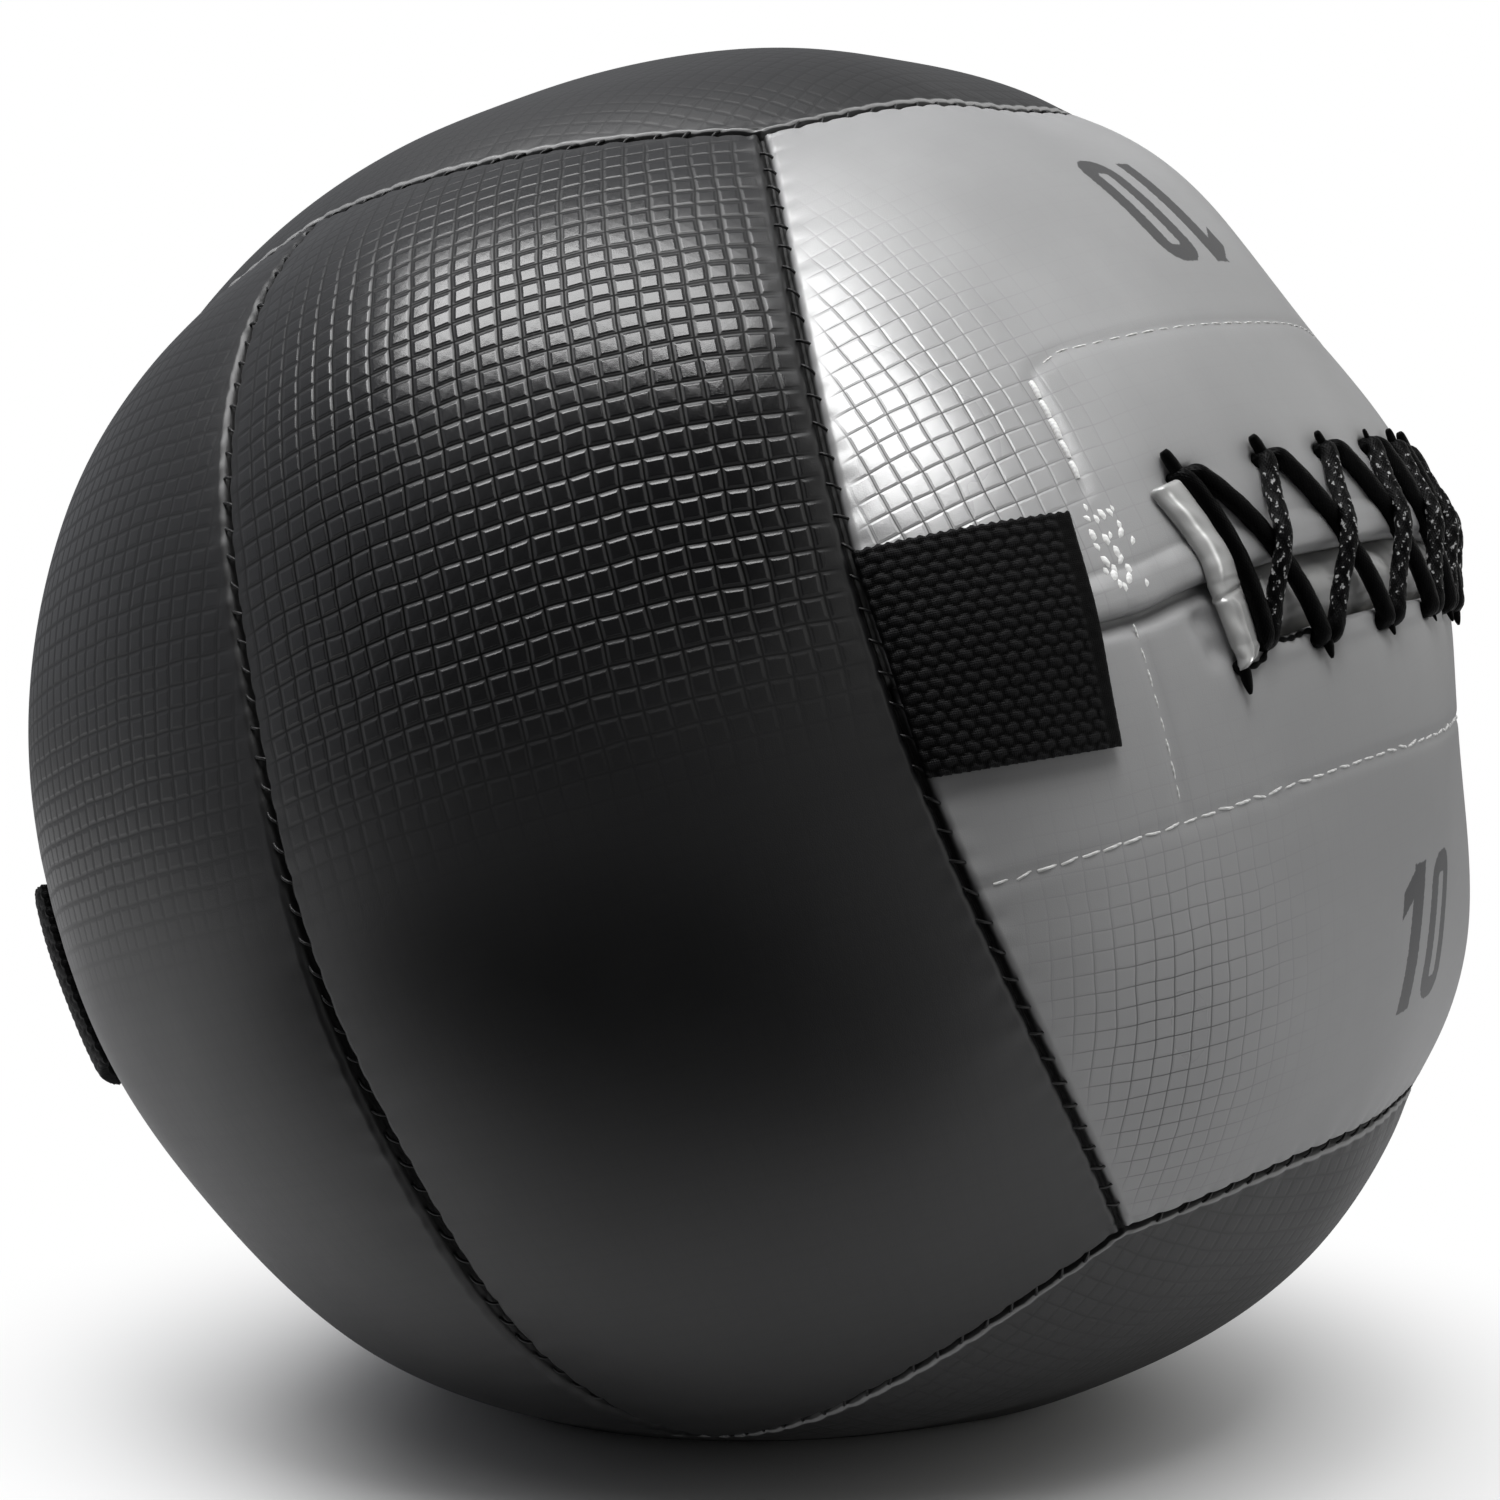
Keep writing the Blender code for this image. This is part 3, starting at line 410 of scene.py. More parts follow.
def new_group(name, use, inputs, outputs):
    """A node group: the wiring of its nodes, its given inputs, and the node that takes its outputs.

    An input is a number, or the kind of a socket without a value of its own.
    """
    group = bpy.data.node_groups.new(name, use + "NodeTree")
    for socket_name, value in inputs.items():
        kind = value if isinstance(value, str) else "Float"
        socket = group.interface.new_socket(socket_name, in_out="INPUT", socket_type="NodeSocket" + kind)
        if kind == "Float":
            socket.default_value = value
    for socket_name, kind in outputs.items():
        group.interface.new_socket(socket_name, in_out="OUTPUT", socket_type="NodeSocket" + kind)
    return Wiring(group), group.nodes.new("NodeGroupInput").outputs, group.nodes.new("NodeGroupOutput")


def gray(value, blue=None):
    """A gray of the given value, tinged where blue is given apart."""
    return value, value, value if blue is None else blue, 1


def new_material(name):
    """A material, its shader, and the wiring of its nodes."""
    material = bpy.data.materials.new(name)
    material.use_nodes = True
    return material, material.node_tree.nodes["Principled BSDF"], Wiring(material.node_tree)


wires, given, group_out = new_group("embossed_squares", "Shader",
                                    {"Place": "Vector", "Pitch": EMBOSS_PITCH, "Waver": 0.10, "Groove": 1.0},
                                    {"Square": "Float", "Line": "Float", "Height": "Float"})
emboss = wires.tree
waver = wires.add("ShaderNodeTexNoise", None, Vector=given["Place"], Scale=70.0, Detail=1.0)
waved = wires.vector("SUBTRACT", waver.outputs["Color"], (0.5, 0.5, 0.5))
scaled = wires.vector("SCALE", given["Place"],
                      Scale=wires.math("DIVIDE", 1.0, given["Pitch"]))
wave_scaled = wires.vector("SCALE", waved, Scale=wires.times(given["Waver"], 3.0))
axes = wires.add("ShaderNodeSeparateXYZ", None, Vector=wires.vector("ADD", scaled, wave_scaled))
edges = [wires.minus(0.5, wires.math("ABSOLUTE", wires.minus(wires.math("FRACT", axis), 0.5)))
         for axis in axes.outputs[:2]]
edge = wires.math("DIVIDE", wires.math("SMOOTH_MIN", edges[0], edges[1], 0.06), given["Groove"])
# The Line output marks the middle of the grooves, where the leather paints shade
line = wires.ramp(edge, 0.015, 0.06, 1.0, 0.0)
raised = wires.plus(wires.ramp(edge, 0.05, 0.17), wires.times(wires.ramp(edge, 0.10, 0.48), 0.15))
wires.feed(group_out, Square=wires.ramp(edge, 0.07, 0.15), Line=line,
           Height=wires.minus(raised, wires.times(line, 0.25)))

wires, given, group_out = new_group("leather_grain", "Shader", {"Place": "Vector"},
                                    {"Grain": "Float", "Tone": "Float"})
grain = wires.tree
cells = wires.add("ShaderNodeTexVoronoi", {"feature": "DISTANCE_TO_EDGE"}, Vector=given["Place"],
                  Scale=2200.0)
creases = wires.ramp(cells.outputs["Distance"], 0.0, 0.25)
pores = wires.noise(given["Place"], 900.0, 3.0, 0.6)
wires.feed(group_out, Grain=wires.plus(wires.times(creases, 0.5), wires.times(pores, 0.5)),
           Tone=wires.noise(given["Place"], 14.0, 4.0, 0.6))


def leather(name, dark, pale, groove, groove_shade_colour, shine, dull, embossing, marks=(), wide=1.25,
            relief=0.00020, edge_sheen=0.0):
    """A leather whose colour runs from dark to pale with its tone; groove colours the seams' depth.

    Wide is the width of the pressed grooves, relief their depth, and the last argument how strong a painted
    highlight is: a pale line along the edges, a little way out from the seams.
    """
    material, shader, wires = new_material(name)
    cut = wires.uv()
    solid = wires.solid()
    near = wires.value("edge")
    press = wires.value("press")
    squares = wires.add("ShaderNodeGroup", {"node_tree": emboss}, Place=cut, Groove=wide)
    grains = wires.add("ShaderNodeGroup", {"node_tree": grain}, Place=solid)
    open_leather = wires.ramp(near, 0.0008, 0.006)
    strength = wires.times(open_leather, press, embossing)
    lines = wires.times(squares.outputs["Line"], strength)
    colour = wires.mix(wires.ramp(grains.outputs["Tone"], 0.35, 0.68), dark, pale)
    # Painted shade: a dark line along the middle of the emboss grooves, as strong as the emboss
    colour = wires.mix(lines, colour, groove_shade_colour)
    for uv_name, boxes, ink in marks:
        colour = wires.mix(boxes(wires, wires.uv(uv_name)), colour, ink)
    # Painted highlight: a pale line a little way out from the seams, as strong as the last argument asks
    wear_and_sheen = wires.times(wires.ramp(near, 0.0007, 0.0010), wires.ramp(near, 0.0014, 0.0022, edge_sheen, 0.0))
    colour = wires.mix(wear_and_sheen, colour, gray(0.35))
    # The groove colour fills the seams' depth; where a piece sets its edge value small away from any seam,
    # as along the tongue leaf's rim, a pale groove colour is a painted highlight
    colour = wires.mix(wires.ramp(near, 0.0, 0.0008, 1.0, 0.0), colour, groove)
    base = wires.plus(dull, wires.times(squares.outputs["Square"], strength, shine - dull))
    scuff = wires.times(wires.minus(grains.outputs["Tone"], 0.5), 0.22)
    rough = wires.math("MAXIMUM", wires.plus(base, scuff), wires.ramp(near, -0.0002, 0.0004, 0.9, 0.0))
    pressed = wires.times(squares.outputs["Height"], wires.times(strength, relief))
    height = wires.plus(pressed, wires.times(grains.outputs["Grain"], 0.000012))
    wires.feed(shader, Base_Color=colour, Roughness=rough, Normal=wires.bump(height),
               Specular_IOR_Level=wires.minus(0.8, wires.times(lines, 0.72)))
    return material


# Each leather's fourth colour is painted shade along the middle of the emboss grooves
black_leather = leather("black_leather", gray(0.0045, 0.005), gray(0.007, 0.0075), gray(0.0015),
                        gray(0.0015), shine=0.19, dull=0.44, embossing=1.0)
# The caps carry a painted highlight, a pale line along their seams
cap_leather = leather("cap_leather", gray(0.006, 0.0065), gray(0.009, 0.0095), gray(0.0015), gray(0.006),
                      shine=0.40, dull=0.46, embossing=0.25, edge_sheen=0.8)


def blobs(azimuth, latitude, spots, least):
    """A value that is least away from the given spots: azimuth, latitude, spread and height."""
    value = np.full(azimuth.shape, least)
    for spot_azimuth, spot_latitude, spread, height in spots:
        apart = (azimuth - spot_azimuth) ** 2 + (latitude - spot_latitude) ** 2
        value = value + height * np.exp(-apart / spread ** 2)
    return np.clip(value, 0, 1)


# The four black side panels and the two caps, cut from the same leather. A side panel runs from the sides'
# middle seam to a face; a cap closes each end of the ball, and its front edge is pulled straight.
MIDDLE_LENGTH, FACE_LENGTH, SIDE_WIDTH, CAP_WIDTH = 0.35, 0.27, 0.13, 0.21


def finish_panel(name, directions, seams, material, middle, angle=0.0, press=1.0):
    """A sewn panel of leather, which takes the place of the plain solid of its name."""
    radius, near, runs = sewn(directions, seams)
    panel = sheet(name + "_leather", rest(directions, radius),
                  rest(directions, radius - SKIN_THICKNESS, SKIN_THICKNESS),
                  cut_places(directions, middle, angle),
                  [("edge", near), ("press", press + np.zeros(near.shape))])
    fit(panel, material, name)


def cap_directions(across_share, up_share):
    """Directions over the top cap, blended between its front and rear edges and its two bent sides."""
    rearward = up_share > 0.5
    front_edge = side_point(1 - 2 * up_share, 1.0, False)
    rear_edge = side_point(2 * up_share - 1, 1.0, True)
    edge_azimuth = np.where(rearward, rear_edge[0], front_edge[0])
    edge_latitude = np.where(rearward, rear_edge[1], front_edge[1])
    left, right = direction(-edge_azimuth, edge_latitude), direction(edge_azimuth, edge_latitude)
    across, up = across_share[:, None, None], up_share[None, :, None]
    front = direction(CORNER_AZIMUTH * (2 * across_share - 1), CORNER_LATITUDE)
    behind = direction(180 - CORNER_AZIMUTH * (2 * across_share - 1), CORNER_LATITUDE)
    corners = direction(np.array([-1, 1]) * CORNER_AZIMUTH, CORNER_LATITUDE)
    rear_corners = direction(180 - np.array([-1, 1]) * CORNER_AZIMUTH, CORNER_LATITUDE)
    blend = (1 - up) * front[:, None] + up * behind[:, None]
    blend = blend + (1 - across) * left[None] + across * right[None]
    blend = blend - (1 - across) * (1 - up) * corners[0] - across * (1 - up) * corners[1]
    blend = blend - (1 - across) * up * rear_corners[0] - across * up * rear_corners[1]
    return unit(blend)


def sides(across, up):
    """Each side panel's way, whether it lies behind and is counted backwards, its name, and its places."""
    for way, way_name in ((-1, "left"), (1, "right")):
        for rear, end_name in ((False, "front"), (True, "rear")):
            yield way, rear, (way > 0) != rear, way_name + "_" + end_name, side_point(across, up, rear)


GRAIN_SPOTS = [(62, 30, 27, 0.8), (74, 14, 20, 0.6), (58, 10, 14, 0.4)]
for way, rear, backwards, name, (azimuth, latitude) in sides(shares(SIDE_WIDTH)[:, None],
                                                             2 * shares(MIDDLE_LENGTH)[None, :] - 1):
    directions = direction(way * azimuth, latitude)
    press = blobs(180 - azimuth if rear else azimuth, latitude, GRAIN_SPOTS, 0.04)
    press = 0.02 + (0.45 if rear else 1.0) * smooth(latitude, -5, 10) * press
    seams = [("middle", "equator"), ("face", "equator"), ("cap", "start"), ("cap", "start")]
    if backwards:
        directions, press = directions[::-1], press[::-1]
        seams = [("face", "equator"), ("middle", "equator"), ("cap", "end"), ("cap", "end")]
    finish_panel(name + "_panel", directions, seams, black_leather,
                 (way * (112 if rear else 68), 15), 3 * way, press)

cap_shares = shares(CAP_WIDTH)
cap = cap_directions(cap_shares, cap_shares)
junction = np.linalg.norm(np.diff(cap[0, cap_shares <= 0.5], axis=0), axis=-1).sum() * BALL_RADIUS
cap_seams = [("cap", junction), ("cap", junction), ("cap", "middle"), ("cap", "middle")]
finish_panel("top_cap", cap, cap_seams, cap_leather, (0, 90))
finish_panel("bottom_cap", cap[:, ::-1] * np.array([1, 1, -1]), cap_seams, cap_leather,
             (0, -90))

# The gray faces. The rear one is whole. The laced front one is two pieces: the upper one ends in a soft
# folded hem, which laps over the lower one, and between the lace holes the lower one is cut away to open
# the slit.
# Tone from dark to pale, the seams' groove colour, and the painted shade in the emboss grooves
GRAY_COLOURS = (gray(0.283, 0.286), gray(0.325, 0.328), gray(0.004), gray(0.055))
GRAY_LOOK = {"shine": 0.24, "dull": 0.42, "embossing": 0.9, "wide": 0.75, "relief": 0.00008}
UPPER_TURN, LOWER_TURN = -4.0, 9.0
HOLE_STEP, UPPER_HOLES, LOWER_HOLES = 7.989, 6.61, -5.65
HOLE_AZIMUTHS = HOLE_STEP * np.arange(-3, 4)
HOLE_HALF_WIDTH, HOLE_HALF_HEIGHT = 0.0040, 0.0018
PINCHED_HOLE = (-24.4, -6.05)
LAP_STOPS = ((-47.8, -1.0), (-33.6, -0.8), (-30.2, -0.9), (-26.7, -0.3), (-15.9, 0.1), (-11, 0), (12, -0.2),
             (27, -0.4), (33, -0.9), (47.8, -1.0))
LIP_STOPS = ((-26.6, 2), (-25.0, 1.4), (-24.0, -1.0), (-23.0, -3.6), (-22.0, -4.7), (-19.4, -4.85),
             (-15.7, -4.7), (-8, -4.7), (3, -4.8), (15, -4.7), (20, -4.4), (24, -3.6), (27, -1), (29.5, 2))
TOP_STITCHES = (
    (0.00022, 0.05, ((-31.5, -0.6), (-31.5, -13.9))),
    (0.00070, 0.06, ((-31.5, 7.4), (-31.5, 15.4), (-30.8, 16.2))),
    (0.00018, 0.10, ((-30.8, 16.2), (-28.2, 17.1), (28.2, 17.1), (31.5, 15.4), (31.5, -13.9))),
    (0.00030, 0.30, ((-46.2, -14.3), (46.2, -14.3))),
)
HEM_HEIGHT, HEM_ROLL, HEM_DROP, HEM_THICKENING = 0.0005, 0.0016, 0.0021, 0.0013
LIP_ROLL, LIP_DROP, TUCK_DEPTH, TEAR_DEPTH, PINCH_DEPTH = 0.0014, 0.0016, 0.0034, 0.0030, 0.0010
UPPER_NUMERAL, LOWER_NUMERAL = (-7.5, 28.0), (-3.4, -28.0)
gray_leather = leather("gray_leather", *GRAY_COLOURS, **GRAY_LOOK)


def ball_numeral(wires, place):
    """Mask of a plain numeral 10 about the middle of a UV map in metres."""
    axes = wires.add("ShaderNodeSeparateXYZ", None, Vector=place)
    across, up = axes.outputs[0], axes.outputs[1]
    tall = wires.math("ABSOLUTE", up)
    bar = wires.minus(wires.math("ABSOLUTE", wires.plus(across, 0.0082)), 0.0028)
    bar = wires.math("MAXIMUM", bar, wires.minus(tall, 0.0163))
    flag_middle = wires.plus(across, 0.0128)
    flag_level = wires.minus(up, wires.plus(wires.times(flag_middle, 0.8), 0.0106))
    flag = wires.math("MAXIMUM", wires.minus(wires.math("ABSOLUTE", flag_middle), 0.0028),
                      wires.minus(wires.math("ABSOLUTE", flag_level), 0.0030))
    ring_across = wires.minus(wires.math("ABSOLUTE", wires.minus(across, 0.0068)), 0.0009)
    ring_up = wires.minus(tall, 0.0104)
    corner = wires.make("ShaderNodeCombineXYZ", X=wires.math("MAXIMUM", ring_across, 0.0),
                        Y=wires.math("MAXIMUM", ring_up, 0.0))
    reach = wires.vector("LENGTH", corner, output="Value")
    ring = wires.minus(wires.math("ABSOLUTE", wires.minus(reach, 0.0036)), 0.0024)
    shape = wires.math("MINIMUM", wires.math("MINIMUM", bar, flag), ring)
    wear_and_sheen = wires.times(wires.minus(wires.noise(place, 900.0, 3.0), 0.5), 0.0010)
    return wires.ramp(wires.plus(shape, wear_and_sheen), -0.0001, 0.0002, 0.93, 0.0)


gray_printed = leather("gray_printed_leather", *GRAY_COLOURS, **GRAY_LOOK,
                       marks=[("numeral", ball_numeral, gray(0.020, 0.022))])


def eased(azimuth, stops):
    """Values at azimuths between stops, with their corners rounded off."""
    places, values = zip(*stops)
    return sum(np.interp(azimuth + shift, places, values) for shift in (-1.0, -0.5, 0.0, 0.5, 1.0)) / 5


def face_place(across, latitude, rear=False):
    """Azimuth and latitude in a face, across from -1 to 1 between its side seams."""
    seam_azimuth = face_seam(latitude / CORNER_LATITUDE)[0]
    azimuth, latitude = np.broadcast_arrays(seam_azimuth * across, latitude)
    return azimuth + (180 if rear else 0), latitude.copy()


def flat_place(azimuth, latitude):
    """Metres across and up on the face, laid flat."""
    across = np.radians(azimuth) * np.cos(np.radians(latitude))
    return np.stack([across, np.radians(latitude)], axis=-1) * BALL_RADIUS


def from_stitches(azimuth, latitude):
    """Distance to the nearest topstitched line."""
    place = flat_place(azimuth, latitude)
    nearest = np.full(azimuth.shape, 1.0)
    for _, _, line in TOP_STITCHES:
        stops = flat_place(*np.array(line).T)
        for start, end in zip(stops[:-1], stops[1:]):
            run = end - start
            share = np.clip(((place - start) @ run) / (run @ run), 0, 1)
            nearest = np.minimum(nearest, np.linalg.norm(place - start - share[..., None] * run, axis=-1))
    return nearest


def pierced(azimuth, latitude, row_latitude, holes=HOLE_AZIMUTHS):
    """Draws grid points onto the rims of lace holes; returns which quads stay and each point's reach."""
    kept = np.ones((azimuth.shape[0] - 1, azimuth.shape[1] - 1), bool)
    nearest = np.full(azimuth.shape, 99.0)
    for hole in holes:
        across = np.radians(azimuth - hole) * np.cos(np.radians(latitude)) * BALL_RADIUS / HOLE_HALF_WIDTH
        reach = np.hypot(across, np.radians(latitude - row_latitude) * BALL_RADIUS / HOLE_HALF_HEIGHT)
        inside = sum(quad_corners(reach)) / 4 < 1
        kept &= ~inside
        padded = np.pad(inside, 1)
        around = np.stack(quad_corners(padded))
        rim = around.any(axis=0) & ~around.all(axis=0)
        azimuth[rim] = hole + (azimuth[rim] - hole) / reach[rim]
        latitude[rim] = row_latitude + (latitude[rim] - row_latitude) / reach[rim]
        nearest = np.minimum(nearest, np.where(rim, 1, reach))
    return kept, nearest


THREAD_SINK, THREAD_REACH, HOLE_SINK, HOLE_REACH = 0.0004, 0.0013, 0.0010, 1.3


def drawn_in(radius, azimuth, latitude, reach):
    """The face's radius, drawn in by its topstitching and round its lace holes."""
    radius = radius - THREAD_SINK * bell(from_stitches(azimuth, latitude), THREAD_REACH)
    return radius - HOLE_SINK * np.exp(-np.maximum(reach - 1, 0) * HOLE_REACH)


def numeral_map(azimuth, latitude, middle, way):
    """Each point's place about a numeral's middle; way is -1 for a numeral that is turned round."""
    return (flat_place(azimuth, latitude) - flat_place(*middle)) * way


face_across = (2 * shares(FACE_LENGTH, coarse=0.0012) - 1)[:, None]
seam_across = face_across * (CORNER_AZIMUTH + FACE_BOW)
lap_latitude, lip_latitude = eased(seam_across, LAP_STOPS), eased(seam_across, LIP_STOPS)

# Upper piece
hem_shares = shares(0.134, coarse=0.0012, fine=0.0004, turned=0.0085)[None, :]
azimuth, latitude = face_place(face_across, lap_latitude + (CORNER_LATITUDE - lap_latitude) * hem_shares)
kept, reach = pierced(azimuth, latitude, UPPER_HOLES)
directions = direction(azimuth, latitude)
radius, near, runs = sewn(directions, [("face", "equator"), ("face", "equator"), None, ("cap", "middle")])
from_edge = runs[2]
rolled = np.clip(1 - from_edge / HEM_ROLL, 0, 1)
hem = smooth(from_edge, -0.001, 0.003) * (1 - smooth(from_edge, 0.005, 0.0092))
hem_waves = 1 + 0.25 * np.sin(azimuth * 0.9) + 0.15 * np.sin(azimuth * 2.3 + 1)
radius = radius + HEM_HEIGHT * hem * hem_waves - HEM_DROP * rounding(rolled)
radius -= 0.00015 * bell(from_edge - 0.0088, 0.001)
radius = drawn_in(radius, azimuth, latitude, reach)
thickness = SKIN_THICKNESS + HEM_THICKENING * (1 - smooth(from_edge, 0.006, 0.009))
press = blobs(azimuth, latitude, [(-43, 20, 9, 0.9), (-42, 8, 8, 0.8), (-37, 12, 6, 0.4)], 0.02)
upper_piece = sheet("front_panel_upper_leather", rest(directions, radius),
                    rest(directions, radius - thickness, SKIN_THICKNESS),
                    cut_places(directions, (0, 21), UPPER_TURN), [("edge", near), ("press", press)],
                    [("numeral", numeral_map(azimuth, latitude, UPPER_NUMERAL, -1))], kept)

# Lower piece; its first hole is drawn shut, and its colour is dark at that hole and, as painted shade, along
# its lip beside the slit's corner
azimuth, latitude = face_place(face_across, (lip_latitude + CORNER_LATITUDE) * hem_shares - CORNER_LATITUDE)
kept, reach = pierced(azimuth, latitude, LOWER_HOLES, HOLE_AZIMUTHS[1:])
directions = direction(azimuth, latitude)
radius, near, runs = sewn(directions, [("face", "equator"), ("face", "equator"), ("cap", "middle"), None])
open_lip = smooth(lap_latitude - lip_latitude, 1.0, 3.5)
rolled = np.clip(1 - runs[3] / LIP_ROLL, 0, 1)
radius -= TUCK_DEPTH * smooth(latitude - lap_latitude, -1.5, -0.2)
radius -= (LIP_DROP * rounding(rolled) - 0.0005 * bell(runs[3] - 0.003, 0.002)) * open_lip
radius = drawn_in(radius, azimuth, latitude, reach)
radius -= TEAR_DEPTH * blobs(azimuth, latitude, [(-26.1, -2.4, 1.1, 1.0), (-25.7, -4.4, 1.0, 0.8)], 0)
from_pinch = np.linalg.norm(flat_place(azimuth, latitude) - flat_place(*PINCHED_HOLE), axis=-1)
radius -= PINCH_DEPTH * bell(from_pinch, 0.0026)
# Painted shade: the lip's edge beside the slit's corner is coloured dark, with a wavering border, by setting
# its edge value small there
shaded_lip_span = smooth(azimuth, -22.8, -22.2) * (1 - smooth(azimuth, -17.4, -16.8))
lip_shade_edge = runs[3] + 0.0002 * np.sin(azimuth * 11) + 0.0030 * (1 - shaded_lip_span)
near = np.minimum(near, np.minimum(from_pinch - 0.0005, lip_shade_edge))
press = blobs(azimuth, latitude, [(-34, -25, 8, 0.75), (-36, -35, 8, 0.5)], 0.02)
lower_piece = sheet("front_panel_lower_leather", rest(directions, radius),
                    rest(directions, radius - SKIN_THICKNESS, SKIN_THICKNESS),
                    cut_places(directions, (0, -24), LOWER_TURN, 1.09), [("edge", near), ("press", press)],
                    [("numeral", numeral_map(azimuth, latitude, LOWER_NUMERAL, 1))], kept)
for piece, replaced in ((upper_piece, "front_panel_upper"), (lower_piece, "front_panel_lower")):
    fit(piece, gray_printed, replaced)

# Rear face
rear_across = 2 * shares(FACE_LENGTH, coarse=0.0023) - 1
azimuth, latitude = face_place(rear_across[:, None], CORNER_LATITUDE * rear_across[None, :], True)
finish_panel("rear_panel", direction(azimuth, latitude),
             [("face", "equator"), ("face", "equator"), ("cap", "middle"), ("cap", "middle")], gray_leather,
             (180, 0), press=0.6)


# The two strips of plain cotton cloth behind the slit, which the stitched rectangle holds. They back the
# lace holes, and are cut away behind the opening.
def weave_group(name, warp_count):
    """A plain weave of round yarns: which yarn lies over, and the height of the cloth."""
    wires, given, group_out = new_group(name, "Shader", {"Place": "Vector", "Pitch": 0.0006},
                                        {"Height": "Float", "Yarn": "Float"})
    axes = wires.add("ShaderNodeSeparateXYZ", None, Vector=given["Place"])
    waves = []
    for axis, count in ((0, 1.0), (1, warp_count)):
        share = wires.math("DIVIDE", axes.outputs[axis], given["Pitch"])
        waves.append(wires.math("SINE", wires.times(share, count, math.pi)))
    over = wires.times(wires.times(*waves), 0.4)
    warp = wires.times(wires.math("ABSOLUTE", waves[0]), wires.plus(0.6, over))
    weft = wires.times(wires.math("ABSOLUTE", waves[1]), wires.minus(0.6, over))
    wires.feed(group_out, Height=wires.math("MAXIMUM", warp, weft),
               Yarn=wires.noise(given["Place"], 900.0, 3.0, 0.6))
    return wires.tree


def woven(name, group, dark, pale, pitch, depth, roughness, sheen=0.1, weave_value=None, specular=0.35):
    """A woven cloth; weave_value names the points' value that says how high the coarse weave stands."""
    material, shader, wires = new_material(name)
    weave = wires.add("ShaderNodeGroup", {"node_tree": group}, Place=wires.uv(), Pitch=pitch)
    blotch = wires.noise(wires.solid(), 18.0, 3.0, 0.6)
    stands, yarn = weave.outputs["Height"], weave.outputs["Yarn"]
    shade = wires.plus(wires.times(stands, 0.5), wires.times(wires.plus(blotch, yarn), 0.25))
    if weave_value:
        # Painted shade: where the points' weave value is low, between the knuckles and along a tab's folded
        # tip, the colour darkens
        shade = wires.times(shade, wires.ramp(wires.value(weave_value), 0.15, 0.8, 0.15, 1.5))
    relief = wires.times(wires.plus(stands, wires.times(yarn, 0.4)), depth)
    wires.feed(shader, Base_Color=wires.mix(wires.ramp(shade, 0.2, 0.85), dark, pale),
               Roughness=wires.plus(roughness, wires.times(yarn, 0.12)), Normal=wires.bump(relief),
               Sheen_Weight=sheen, Sheen_Roughness=0.4, Specular_IOR_Level=specular)
    return material


plain_weave = weave_group("plain_weave", 1.0)
lining_cloth = woven("lining_cloth", plain_weave, (0.36, 0.34, 0.29, 1), (0.58, 0.56, 0.50, 1), 0.0007,
                     0.00012, 0.85)
FACING_DEPTH, FACING_THICKNESS, FACING_HALF_SPAN = 0.0033, 0.0010, 31.9


def grids(*parts):
    """Copies of the given rows and columns, each spread over the whole grid."""
    return [part.copy() for part in np.broadcast_arrays(*parts)]


def over_face(azimuth, latitude, height):
    """Points at a height over the middle of the face, far from its seams."""
    directions = direction(azimuth, latitude)
    return rest(directions, form(directions) + PILLOW_HEIGHT + height)


def facing(name, low, high, row_latitude, columns=220, rows=70):
    """A facing between two latitudes, which may change along it, with a row of lace holes."""
    azimuth = np.linspace(-FACING_HALF_SPAN, FACING_HALF_SPAN, columns)[:, None]
    share = np.linspace(0, 1, rows)[None, :]
    azimuth, latitude = grids(azimuth, low(azimuth) + (high(azimuth) - low(azimuth)) * share)
    kept, reach = pierced(azimuth, latitude, row_latitude)
    fray = 0.00025 * np.sin(azimuth * 3.1) * np.sin(latitude * 2.7)
    dimple = 0.0008 * np.exp(-np.maximum(reach - 1, 0) * 1.5)
    outer = over_face(azimuth, latitude, fray - FACING_DEPTH - dimple)
    inner = over_face(azimuth, latitude, fray - FACING_DEPTH - dimple - FACING_THICKNESS)
    piece = sheet(name + "_cloth", outer, inner, flat_place(azimuth, latitude), kept=kept)
    fit(piece, lining_cloth, name)


facing("opening_facing_upper", lambda azimuth: 2.6 + 0 * azimuth, lambda azimuth: 16.7 + 0 * azimuth,
       UPPER_HOLES)
facing("opening_facing_lower", lambda azimuth: -14.0 + 0 * azimuth,
       lambda azimuth: np.minimum(eased(azimuth, LIP_STOPS) - 0.6, -2.6), LOWER_HOLES)

# The tongue: a strip of pale leather behind the lace. It swells up into the opening, and its left end is
# drawn out through the slit and folded over both lips, with a rolled edge that carries a painted highlight,
# and a crease towards its foot.
TONGUE_THICKNESS = 0.0013
TONGUE_HALF_SPAN, TONGUE_LOW, TONGUE_HIGH, TONGUE_DEPTH = 28.6, -10.0, 12.0, 0.0105
FOLD_LOW, FOLD_HIGH = -6.2, 6.2
FOLD_LEFT = ((-6.2, -24.9), (-5.5, -24.8), (-3.9, -25.1), (-0.5, -25.5), (1.1, -25.6), (2.7, -26.0),
             (4.5, -26.7), (6.2, -27.3))
FOLD_RIGHT = ((-6.2, -24.5), (-5.6, -23.2), (-4.9, -22.7), (-2.2, -22.6), (-1.4, -23.3), (-0.3, -22.9),
              (0.8, -22.5), (2.5, -22.8), (3.7, -23.3), (5.1, -24.1), (6.2, -24.8))
